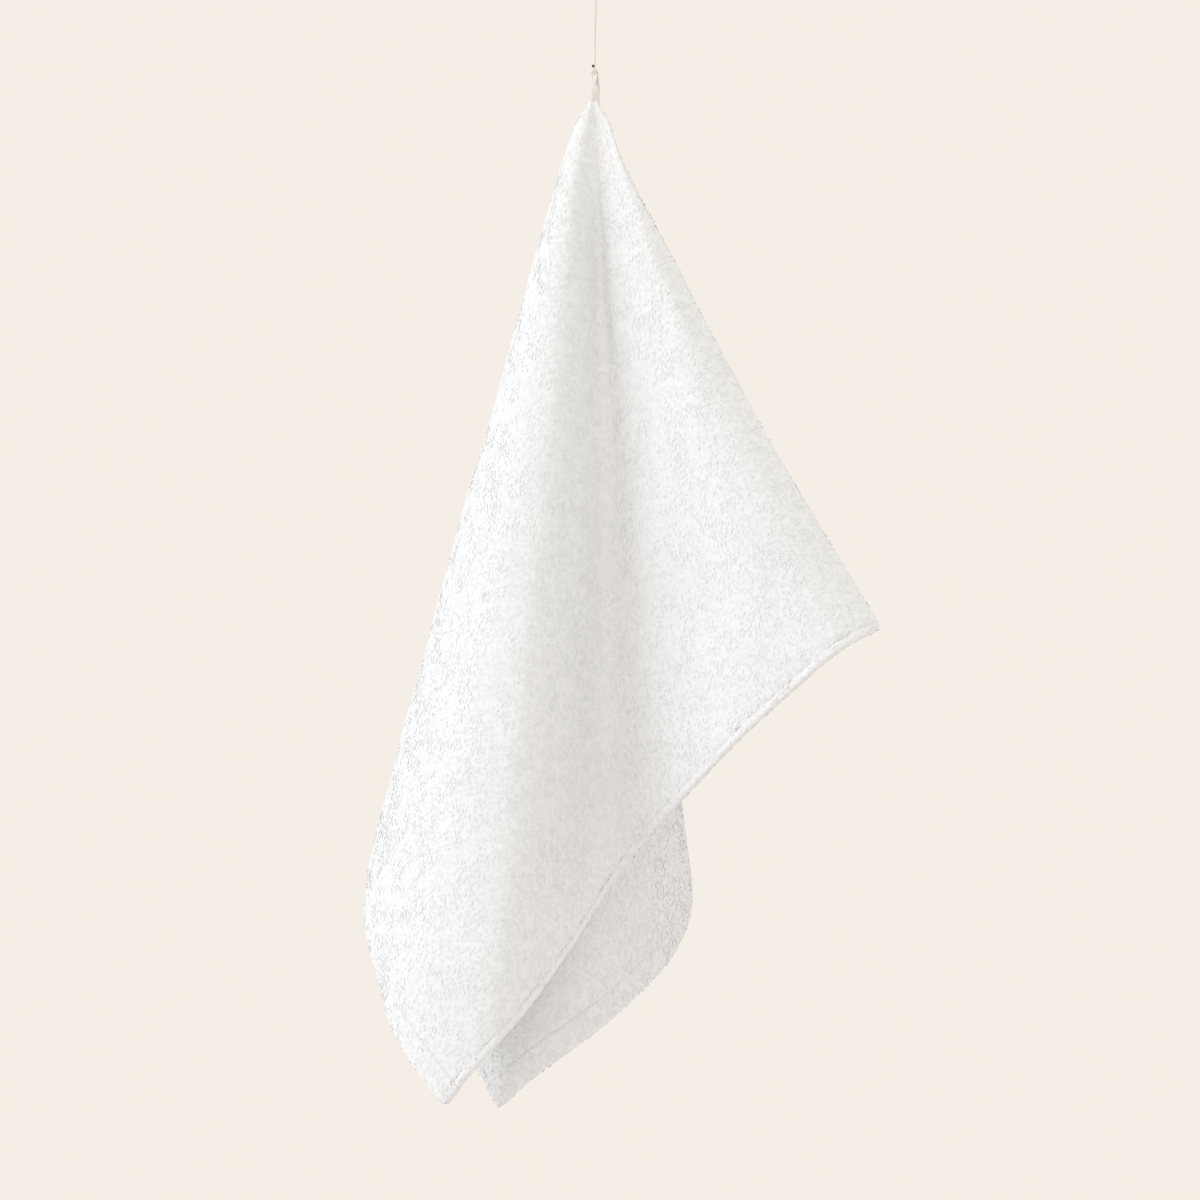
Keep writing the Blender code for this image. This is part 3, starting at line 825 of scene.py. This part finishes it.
def pile_tree():
    """Sows tufts on a face of the cloth: each leans its own way and is as tall as the pile there."""
    group, tree, given = geometry_tree(
        "terry_pile",
        (
            ("Tuft", "NodeSocketObject"), ("Least Spacing", "NodeSocketFloat"),
            ("Density", "NodeSocketFloat"), ("Swirl Scale", "NodeSocketFloat"), ("Seed", "NodeSocketInt"),
            ("Material", "NodeSocketMaterial"),
        ),
    )
    named = tree.add("GeometryNodeInputNamedAttribute", {"data_type": "FLOAT"}, {"Name": "pile"})
    pile = named.outputs["Attribute"]
    standing = tree.add("ShaderNodeMath", {"operation": "GREATER_THAN"}, {0: pile, 1: LEAST_PILE})
    sown = tree.add(
        "GeometryNodeDistributePointsOnFaces", {"distribute_method": "POISSON", "use_legacy_normal": False},
        {
            "Mesh": given["Geometry"], "Selection": standing.outputs[0], "Seed": given["Seed"],
            "Distance Min": given["Least Spacing"], "Density Max": given["Density"],
        },
    )
    kept = tree.add(
        "GeometryNodeStoreNamedAttribute", {"data_type": "FLOAT_VECTOR", "domain": "POINT"},
        {"Geometry": sown.outputs["Points"], "Name": "ground_normal", "Value": sown.outputs["Normal"]},
    )
    place = tree.add("GeometryNodeInputPosition").outputs[0]
    swirl = tree.add(
        "ShaderNodeTexNoise", None, {"Vector": place, "Scale": given["Swirl Scale"], "Detail": 2.0},
    )
    wander = random_number(tree, -TUFT_WANDER, TUFT_WANDER, 3)
    turned = tree.add(
        "ShaderNodeMath", {"operation": "MULTIPLY_ADD"},
        {0: swirl.outputs["Fac"], 1: SWIRL_TURNS * 2 * math.pi, 2: wander},
    )
    spin = tree.add(
        "FunctionNodeAxisAngleToRotation", None, {"Axis": (0.0, 0.0, 1.0), "Angle": turned.outputs[0]},
    )
    rotation = tree.add(
        "FunctionNodeRotateRotation", {"rotation_space": "LOCAL"},
        {"Rotation": sown.outputs["Rotation"], "Rotate By": spin.outputs["Rotation"]},
    )
    sized = random_number(tree, *TUFT_SIZES, 8)
    scale = tree.add("ShaderNodeMath", {"operation": "MULTIPLY"}, {0: sized, 1: pile})
    set_copies(
        tree, given, "Tuft", kept.outputs["Geometry"], rotation.outputs["Rotation"], scale.outputs[0],
    )
    return group


def stitch_tree():
    """Lays one stitch after another along lines of sewing."""
    group, tree, given = geometry_tree(
        "hem_stitches",
        (
            ("Stitch", "NodeSocketObject"), ("Pitch", "NodeSocketFloat"), ("Seed", "NodeSocketInt"),
            ("Material", "NodeSocketMaterial"),
        ),
    )
    curve = tree.add("GeometryNodeMeshToCurve", None, {"Mesh": given["Geometry"]})
    even = tree.add(
        "GeometryNodeResampleCurve", {"mode": "LENGTH"},
        {"Curve": curve.outputs["Curve"], "Length": given["Pitch"]},
    )
    tangent = tree.add("GeometryNodeInputTangent").outputs[0]
    named = tree.add("GeometryNodeInputNamedAttribute", {"data_type": "FLOAT_VECTOR"}, {"Name": "outward"})
    outward = next(s for s in named.outputs if s.name == "Attribute" and s.type == "VECTOR")
    up = tree.add("FunctionNodeAlignRotationToVector", {"axis": "Z"}, {"Vector": outward})
    along = tree.add(
        "FunctionNodeAlignRotationToVector", {"axis": "X", "pivot_axis": "Z"},
        {"Rotation": up.outputs["Rotation"], "Vector": tangent},
    )
    sized = random_number(tree, *STITCH_SIZES, given["Seed"])
    set_copies(tree, given, "Stitch", even.outputs["Curve"], along.outputs["Rotation"], sized)
    return group


def smooth_mesh(name, bm):
    mesh = bpy.data.meshes.new(name)
    bm.to_mesh(mesh)
    bm.free()
    mesh.shade_smooth()
    return mesh


def tuft_pattern(settings):
    """One tuft: an arched wisp of loops that rises out of the cloth and lies over to its tip."""
    length, width, height = settings.tuft_length, settings.tuft_width, settings.tuft_height
    bm = bmesh.new()
    lines = []
    for along, wide, rise in TUFT_LINES:
        lines.append([
            bm.verts.new((along * length, side * wide * width, rise * height + lift * height))
            for side, lift in TUFT_ARCH
        ])
    tip = bm.verts.new((TUFT_TIP[0] * length, 0.0, TUFT_TIP[1] * height))
    for side in (0, 1):
        bm.faces.new((lines[0][side + 1], lines[0][side], lines[1][side], lines[1][side + 1]))
        bm.faces.new((lines[1][side + 1], lines[1][side], tip))
    return bpy.data.objects.new("tuft_pattern", smooth_mesh("tuft_pattern", bm))


def stitch_pattern(settings):
    """One stitch: a short plump thread lying along X, its ends sunk in the cloth."""
    bm = bmesh.new()
    radius, length = settings.thread_width / 2, settings.stitch_pitch * STITCH_COVER
    rings = []
    for share, full in STITCH_RINGS:
        lift = radius * (STITCH_RISE - STITCH_ARCH * share * share)
        ring = []
        for number in range(STITCH_SIDES):
            turn = 2 * math.pi * number / STITCH_SIDES
            across = radius * full * math.cos(turn)
            ring.append(bm.verts.new((share * length, across, lift + radius * full * math.sin(turn))))
        rings.append(ring)
    for first, second in zip(rings, rings[1:]):
        for number in range(STITCH_SIDES):
            following = (number + 1) % STITCH_SIDES
            bm.faces.new((first[number], second[number], second[following], first[following]))
    bm.faces.new(rings[0])
    bm.faces.new(rings[-1][::-1])
    bmesh.ops.recalc_face_normals(bm, faces=bm.faces)
    return bpy.data.objects.new("stitch_pattern", smooth_mesh("stitch_pattern", bm))


class TowelSettings(bpy.types.PropertyGroup):
    flat_length: bpy.props.FloatProperty(
        name="Flat length", description="Long side of the flat towel", default=0.5, unit="LENGTH",
    )
    flat_width: bpy.props.FloatProperty(
        name="Flat width", description="Short side of the flat towel", default=0.3, unit="LENGTH",
    )
    ground_thickness: bpy.props.FloatProperty(
        name="Ground thickness", description="Woven cloth under the pile", default=0.0020, unit="LENGTH",
    )
    hem_thickness: bpy.props.FloatProperty(
        name="Hem thickness", description="Folded and sewn hem", default=0.0025, unit="LENGTH",
    )
    wide_hem: bpy.props.FloatProperty(
        name="Wide hem", description="Hem along the long sides", default=0.0105, unit="LENGTH",
    )
    narrow_hem: bpy.props.FloatProperty(
        name="Narrow hem", description="Hem along the short sides", default=0.0035, unit="LENGTH",
    )
    hem_bulge: bpy.props.FloatProperty(
        name="Hem bulge", description="How far the turned wide hem stands out inside", default=0.0011,
        unit="LENGTH",
    )
    thread_pitch: bpy.props.FloatProperty(
        name="Thread pitch", description="Two threads of the hem's weave", default=0.0011, unit="LENGTH",
    )
    cotton_colour: bpy.props.FloatVectorProperty(
        name="Cotton colour", description="White of the cotton", default=(0.955, 0.955, 0.955),
        subtype="COLOR",
    )
    tuft_length: bpy.props.FloatProperty(
        name="Tuft length", description="A tuft's own length", default=0.0020, unit="LENGTH",
    )
    tuft_width: bpy.props.FloatProperty(
        name="Tuft width", description="A tuft's width across", default=0.0013, unit="LENGTH",
    )
    tuft_height: bpy.props.FloatProperty(
        name="Tuft height", description="How far a tuft stands up", default=0.00036, unit="LENGTH",
    )
    tuft_spacing: bpy.props.FloatProperty(
        name="Tuft spacing", description="Least distance between two tufts", default=0.001, unit="LENGTH",
    )
    tuft_density: bpy.props.FloatProperty(
        name="Tuft density", description="Most tufts to a square metre", default=740000.0,
    )
    own_shade: bpy.props.FloatProperty(
        name="Own shade", description="How far the tufts' own sides show in their shading", default=0.3,
        subtype="FACTOR",
    )
    groove_depth: bpy.props.FloatProperty(
        name="Groove depth", description="How far seams pull the cloth in", default=0.75, subtype="FACTOR",
    )
    # Tone of the painted shade deep in a seam's groove
    seam_shade_tone: bpy.props.FloatProperty(
        name="Seam tone", description="The cloth's tone deep in a seam", default=0.86, subtype="FACTOR",
    )
    outer_roll: bpy.props.FloatProperty(
        name="Outer roll", description="How far the front panel's outer side rolls back", default=0.005,
        unit="LENGTH",
    )
    lower_roll: bpy.props.FloatProperty(
        name="Lower roll", description="How far the other sides roll back", default=0.0022, unit="LENGTH",
    )
    roll_width: bpy.props.FloatProperty(
        name="Roll width", description="How far in from a side its roll starts", default=0.015, unit="LENGTH",
    )
    swirl_scale: bpy.props.FloatProperty(
        name="Swirl scale", description="How often the pile's lie turns, to the metre", default=95.0,
    )
    stitch_pitch: bpy.props.FloatProperty(
        name="Stitch pitch", description="From one stitch to the next", default=0.0028, unit="LENGTH",
    )
    thread_width: bpy.props.FloatProperty(
        name="Thread width", description="Sewing thread", default=0.00045, unit="LENGTH",
    )
    seed: bpy.props.IntProperty(name="Seed", description="Pattern of the tufts", default=7)


class LoopSettings(bpy.types.PropertyGroup):
    tape_width: bpy.props.FloatProperty(
        name="Tape width", description="Width of the hanging loop's tape", default=0.0032, unit="LENGTH",
    )
    tape_thickness: bpy.props.FloatProperty(
        name="Tape thickness", description="Thickness of the tape", default=0.00076, unit="LENGTH",
    )
    rib_pitch: bpy.props.FloatProperty(
        name="Rib pitch", description="From one rib of the tape to the next", default=0.00064, unit="LENGTH",
    )
    weft_pitch: bpy.props.FloatProperty(
        name="Weft pitch", description="From one cross thread to the next", default=0.0008, unit="LENGTH",
    )
    tape_colour: bpy.props.FloatVectorProperty(
        name="Tape colour", description="Cream of the tape", default=(0.93, 0.88, 0.82), subtype="COLOR",
    )


class HookSettings(bpy.types.PropertyGroup):
    wire_colour: bpy.props.FloatVectorProperty(
        name="Wire colour", description="Pale coat of the wire", default=(0.90, 0.86, 0.80), subtype="COLOR",
    )
    tip_colour: bpy.props.FloatVectorProperty(
        name="Tip colour", description="Dark cut end of the wire", default=(0.07, 0.06, 0.055),
        subtype="COLOR",
    )
    dark_end_front: bpy.props.FloatProperty(
        name="Dark end", description="How far in front the dark end starts", default=0.0046, unit="LENGTH",
    )
    button_colour: bpy.props.FloatVectorProperty(
        name="Button colour", description="Moulded button", default=(0.84, 0.82, 0.79), subtype="COLOR",
    )


class StageSettings(bpy.types.PropertyGroup):
    camera_distance: bpy.props.FloatProperty(
        name="Camera distance", description="From the towel", default=2.2, unit="LENGTH",
    )
    frame_width: bpy.props.FloatProperty(
        name="Frame width", description="What the frame takes in at the towel", default=0.4626, unit="LENGTH",
    )
    camera_height: bpy.props.FloatProperty(
        name="Camera height", description="Below the button's top", default=-0.2438, unit="LENGTH",
    )
    camera_right: bpy.props.FloatProperty(
        name="Camera right", description="To the right of the button", default=0.0016, unit="LENGTH",
    )
    floor_height: bpy.props.FloatProperty(
        name="Floor height", description="Below the button's top", default=-1.25, unit="LENGTH",
    )
    floor_size: bpy.props.FloatProperty(
        name="Floor size", description="Side of the floor", default=3.2, unit="LENGTH",
    )
    room_colour: bpy.props.FloatVectorProperty(
        name="Room colour", description="Pale warm room", default=(0.913, 0.855, 0.791), subtype="COLOR",
    )
    ambient_colour: bpy.props.FloatVectorProperty(
        name="Ambient colour", description="Light from all round", default=(1.0, 0.976, 0.951),
        subtype="COLOR",
    )
    ambient_strength: bpy.props.FloatProperty(
        name="Ambient strength", description="How strong the light from all round is", default=0.832,
    )
    side_colour: bpy.props.FloatVectorProperty(
        name="Side colour", description="Cool light from the left", default=(0.76, 0.865, 1.0),
        subtype="COLOR",
    )
    side_power: bpy.props.FloatProperty(name="Side power", description="Left light, in watts", default=21.5)
    upper_colour: bpy.props.FloatVectorProperty(
        name="Upper colour", description="Warm light from above", default=(1.0, 0.99, 0.72), subtype="COLOR",
    )
    upper_power: bpy.props.FloatProperty(name="Upper power", description="Upper light, in watts", default=3.6)


class FACETOWEL_OT_stage(bpy.types.Operator):
    """Makes the camera, the lights, the pale room and the floor"""

    bl_idname = "face_towel.stage"
    bl_label = "Stage"

    def execute(self, context):
        settings = context.scene.face_towel_stage
        scene = context.scene
        scene.view_settings.view_transform = "Standard"
        self.make_camera(scene, settings)
        self.make_room(scene, settings)
        self.make_floor(scene, settings)
        self.make_light(scene, "side_light", SIDE_LAMP, settings.side_power, settings.side_colour)
        self.make_light(scene, "upper_light", UPPER_LAMP, settings.upper_power, settings.upper_colour)
        return {"FINISHED"}

    def make_camera(self, scene, settings):
        data = bpy.data.cameras.new("photo_camera")
        data.sensor_width = SENSOR_WIDTH
        data.lens = data.sensor_width * settings.camera_distance / settings.frame_width
        data.clip_start = CLIP_START
        camera = bpy.data.objects.new("photo_camera", data)
        camera.location = (settings.camera_right, -settings.camera_distance, settings.camera_height)
        camera.rotation_euler = (math.pi / 2, 0.0, 0.0)
        scene.collection.objects.link(camera)
        scene.camera = camera

    def make_room(self, scene, settings):
        world = bpy.data.worlds.new("pale_room")
        world.use_nodes = True
        tree = Tree(world.node_tree)
        lit = {"Color": (*settings.ambient_colour, 1.0), "Strength": settings.ambient_strength}
        light = tree.add("ShaderNodeBackground", None, lit).outputs[0]
        seen = tree.add("ShaderNodeBackground", None, {"Color": (*settings.room_colour, 1.0)}).outputs[0]
        camera_ray = tree.add("ShaderNodeLightPath").outputs["Is Camera Ray"]
        both = tree.add("ShaderNodeMixShader", None, {0: camera_ray, 1: light, 2: seen})
        tree.add("ShaderNodeOutputWorld", None, {"Surface": both.outputs["Shader"]})
        scene.world = world

    def make_floor(self, scene, settings):
        half = settings.floor_size / 2
        mesh = bpy.data.meshes.new("floor")
        corners = [(-half, -half), (half, -half), (half, half), (-half, half)]
        mesh.from_pydata([(x, y, settings.floor_height) for x, y in corners], [], [(0, 1, 2, 3)])
        finish = Finish("pale_floor", {"Roughness": 0.8, "Base Color": FLOOR_COLOUR})
        mesh.materials.append(finish.material)
        floor = bpy.data.objects.new("floor", mesh)
        scene.collection.objects.link(floor)

    def make_light(self, scene, name, place, power, colour):
        data = bpy.data.lights.new(name, "AREA")
        data.shape = "DISK"
        data.size = LAMP_SIZE
        data.energy = power
        data.color = colour
        light = bpy.data.objects.new(name, data)
        light.location = place
        aim = np.array(LAMP_AIM) - np.array(place)
        yaw = math.atan2(aim[0], -aim[1])
        pitch = math.atan2(math.hypot(aim[0], aim[1]), -aim[2])
        light.rotation_euler = (pitch, 0.0, math.pi + yaw)
        scene.collection.objects.link(light)


class FACETOWEL_OT_cloth(bpy.types.Operator):
    """Drapes the towel's woven cloth and its hems on the folds of the solid"""

    bl_idname = "face_towel.cloth"
    bl_label = "Cloth and hems"

    def execute(self, context):
        settings = context.scene.face_towel_cloth
        grid = ClothGrid(settings)
        mesh = grid.mesh("towel_cloth", (1, -1), 0, len(grid.angles))
        mesh.materials.append(terry_ground_finish(settings))
        cloth = new_mesh_object("towel_cloth", mesh)
        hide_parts("towel")
        return {"FINISHED"}


class FACETOWEL_OT_pile(bpy.types.Operator):
    """Sows the terry pile on both faces of the cloth"""

    bl_idname = "face_towel.pile"
    bl_label = "Terry pile"

    def execute(self, context):
        settings = context.scene.face_towel_cloth
        grid = ClothGrid(settings)
        pattern = tuft_pattern(settings)
        group = pile_tree()
        material = terry_pile_finish(settings)
        panels = len(grid.angles) - 1
        for name, side, first, last in PILE_PIECES:
            mesh = grid.mesh(name, (side,), int(first * panels), int(last * panels) + 1)
            obj = new_mesh_object(name, mesh)
            modifier = obj.modifiers.new("Pile", "NODES")
            modifier.node_group = group
            set_inputs(modifier, {
                "Tuft": pattern, "Least Spacing": settings.tuft_spacing, "Density": settings.tuft_density,
                "Swirl Scale": settings.swirl_scale, "Seed": settings.seed, "Material": material,
            })
            applied(obj, modifier)
            if not obj.data.polygons:
                raise RuntimeError(f"{name} has no tufts")
            soften_normals(obj.data, settings.own_shade)
        bpy.data.objects.remove(pattern)
        return {"FINISHED"}


class FACETOWEL_OT_stitches(bpy.types.Operator):
    bl_idname = "face_towel.stitches"
    bl_label = "Hem stitches"

    def execute(self, context):
        settings = context.scene.face_towel_cloth
        grid = ClothGrid(settings)
        stitches = new_mesh_object("hem_stitches", self.lines(grid, settings))
        pattern = stitch_pattern(settings)
        modifier = stitches.modifiers.new("Sewing", "NODES")
        modifier.node_group = stitch_tree()
        set_inputs(modifier, {
            "Stitch": pattern, "Pitch": settings.stitch_pitch, "Seed": settings.seed,
            "Material": thread_finish(settings),
        })
        applied(stitches, modifier)
        bpy.data.objects.remove(pattern)
        return {"FINISHED"}

    def lines(self, grid, settings):
        """Lines of sewing along the inside of each hem, as edges on the cloth with the way it faces."""
        right = settings.flat_length / 2 - settings.narrow_hem - NARROW_SEWING
        low = settings.flat_width - settings.wide_hem + WIDE_SEWING
        top = settings.wide_hem - WIDE_SEWING
        near = TOP_SEWING_START * settings.wide_hem
        end_right = right - SEWING_INSET
        end_low = settings.flat_width - SEWING_INSET
        paths = (
            ((right, SEWING_INSET), (right, end_low)),
            ((-right, SEWING_INSET), (-right, end_low)),
            ((end_right, low), (-end_right, low)),
            ((near, top), (end_right, top)),
            ((-near, top), (-end_right, top)),
        )
        verts, edges, outward = [], [], []
        for start, end in paths:
            start, end = np.array(start), np.array(end)
            count = int(np.linalg.norm(end - start) / SEWING_STEP) + 1
            flat = start + (end - start) * np.linspace(0, 1, count)[:, None]
            outer, inner = grid.on_face(flat, 1), grid.on_face(flat, -1)
            facing = outer - inner
            facing /= np.linalg.norm(facing, axis=1, keepdims=True)
            for points, ways in ((outer, facing), (inner, -facing)):
                first = len(verts)
                verts.extend((points - ways * STITCH_SINK).tolist())
                outward.extend(ways.tolist())
                edges.extend((first + index, first + index + 1) for index in range(count - 1))
        mesh = bpy.data.meshes.new("hem_stitches")
        mesh.from_pydata(verts, edges, [])
        attribute = mesh.attributes.new("outward", "FLOAT_VECTOR", "POINT")
        attribute.data.foreach_set("vector", np.array(outward).reshape(-1))
        return mesh


class FACETOWEL_OT_loop(bpy.types.Operator):
    """Makes the woven tape of the hanging loop on its solid's route"""

    bl_idname = "face_towel.loop"
    bl_label = "Hanging loop"

    def execute(self, context):
        settings = context.scene.face_towel_loop
        mesh = self.tape(settings)
        mesh.materials.append(tape_finish(settings))
        tape = new_mesh_object("loop_tape", mesh)
        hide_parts("hanging_loop")
        return {"FINISHED"}

    def route(self):
        """The tape's middle line with the way across it: down each leg it turns a quarter round."""
        low = SEWN_POINT[2] - TAPE_SEWN_DEPTH
        height = WIRE_SEAT_POINT[2]
        legs = []
        for side in (1, -1):
            leg = []
            for step in range(TAPE_LEG_STEPS + 1):
                fall = step / TAPE_LEG_STEPS
                eased = float(smooth_step(fall / TAPE_TWIST_SHARE))
                turn = math.pi / 2 * eased
                offset = TAPE_TOP_OFFSET + (TAPE_LOW_OFFSET - TAPE_TOP_OFFSET) * eased
                away = np.array([math.cos(turn), math.sin(turn), 0.0])
                across = np.array([-math.sin(turn), math.cos(turn), 0.0])
                middle = np.array([
                    WIRE_SEAT_POINT[0] + TAPE_LOW_SHIFT[0] * eased, TAPE_LOW_SHIFT[1] * eased,
                    height + (low - height) * fall,
                ])
                leg.append((middle + side * offset * away, across))
            legs.append(leg)
        arc = []
        for step in range(1, TAPE_ARC_STEPS):
            turn = math.pi * step / TAPE_ARC_STEPS
            rise = np.array([TAPE_TOP_OFFSET * math.cos(turn), 0.0, TAPE_TOP_OFFSET * math.sin(turn)])
            arc.append((WIRE_SEAT_POINT + rise, np.array([0.0, 1.0, 0.0])))
        return legs[0][::-1] + arc + legs[1]

    def tape(self, settings):
        """A flat tape with rounded sides and rolled selvedges, swept along the route."""
        route = self.route()
        middles = np.array([middle for middle, _ in route])
        along = np.gradient(middles, axis=0)
        along /= np.linalg.norm(along, axis=1, keepdims=True)
        outline = []
        for number in range(TAPE_SIDES):
            turn = 2 * math.pi * number / TAPE_SIDES
            wide = math.copysign(abs(math.cos(turn)) ** TAPE_FLATNESS[0], math.cos(turn))
            deep = math.copysign(abs(math.sin(turn)) ** TAPE_FLATNESS[1], math.sin(turn))
            selvedge = 1.0 + SELVEDGE * abs(wide) ** SELVEDGE_POWER
            outline.append((0.5 * wide, TAPE_DEPTH * deep * selvedge))
        bm = bmesh.new()
        uv = bm.loops.layers.uv.new("flat")
        rings, travelled = [], 0.0
        for index, (middle, across) in enumerate(route):
            up = np.cross(along[index], across)
            if index:
                travelled += float(np.linalg.norm(middle - route[index - 1][0]))
            ring = []
            for wide, deep in outline:
                place = middle + across * wide * settings.tape_width + up * deep * settings.tape_thickness
                ring.append((bm.verts.new(place), (wide * settings.tape_width, travelled)))
            rings.append(ring)
        for first, second in zip(rings, rings[1:]):
            for number in range(len(outline)):
                following = (number + 1) % len(outline)
                corners = (first[number], first[following], second[following], second[number])
                face = bm.faces.new([vert for vert, _ in corners])
                for loop, (_, place) in zip(face.loops, corners):
                    loop[uv].uv = place
        bm.faces.new([vert for vert, _ in rings[0]][::-1])
        bm.faces.new([vert for vert, _ in rings[-1]])
        bmesh.ops.recalc_face_normals(bm, faces=bm.faces)
        return smooth_mesh("loop_tape", bm)


class FACETOWEL_OT_hook(bpy.types.Operator):
    """Finishes the wire hook and its button"""

    bl_idname = "face_towel.hook"
    bl_label = "Hook finishes"

    def execute(self, context):
        settings = context.scene.face_towel_hook
        finishes = {"hook_wire": wire_finish(settings), "hook_button": button_finish(settings)}
        for node, material in finishes.items():
            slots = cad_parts[node].material_slots
            if not slots:
                raise RuntimeError(f"{node} has no material slot")
            for slot in slots:
                slot.material = material
        return {"FINISHED"}


class FACETOWEL_PT_panel(bpy.types.Panel):
    """Lists the towel's pieces"""

    bl_idname = "FACETOWEL_PT_panel"
    bl_label = "Face Towel"
    bl_space_type = "VIEW_3D"
    bl_region_type = "UI"
    bl_category = "Face Towel"

    def draw(self, context):
        for operator in OPERATORS:
            self.layout.operator(operator.bl_idname)
        for group in GROUPS:
            for name in group.__annotations__:
                self.layout.prop(getattr(context.scene, GROUPS[group]), name)


OPERATORS = (
    FACETOWEL_OT_stage, FACETOWEL_OT_cloth, FACETOWEL_OT_pile, FACETOWEL_OT_stitches, FACETOWEL_OT_loop,
    FACETOWEL_OT_hook,
)
GROUPS = {
    TowelSettings: "face_towel_cloth",
    LoopSettings: "face_towel_loop",
    HookSettings: "face_towel_hook",
    StageSettings: "face_towel_stage",
}


def register():
    for cls in (*GROUPS, *OPERATORS, FACETOWEL_PT_panel):
        bpy.utils.register_class(cls)
    for group, name in GROUPS.items():
        setattr(bpy.types.Scene, name, bpy.props.PointerProperty(type=group))


def unregister():
    for name in GROUPS.values():
        delattr(bpy.types.Scene, name)
    for cls in reversed((*GROUPS, *OPERATORS, FACETOWEL_PT_panel)):
        bpy.utils.unregister_class(cls)


def main():
    register()
    bpy.ops.face_towel.stage()
    bpy.ops.face_towel.cloth()
    bpy.ops.face_towel.pile()
    bpy.ops.face_towel.stitches()
    bpy.ops.face_towel.loop()
    bpy.ops.face_towel.hook()


if __name__ == "__main__":
    main()
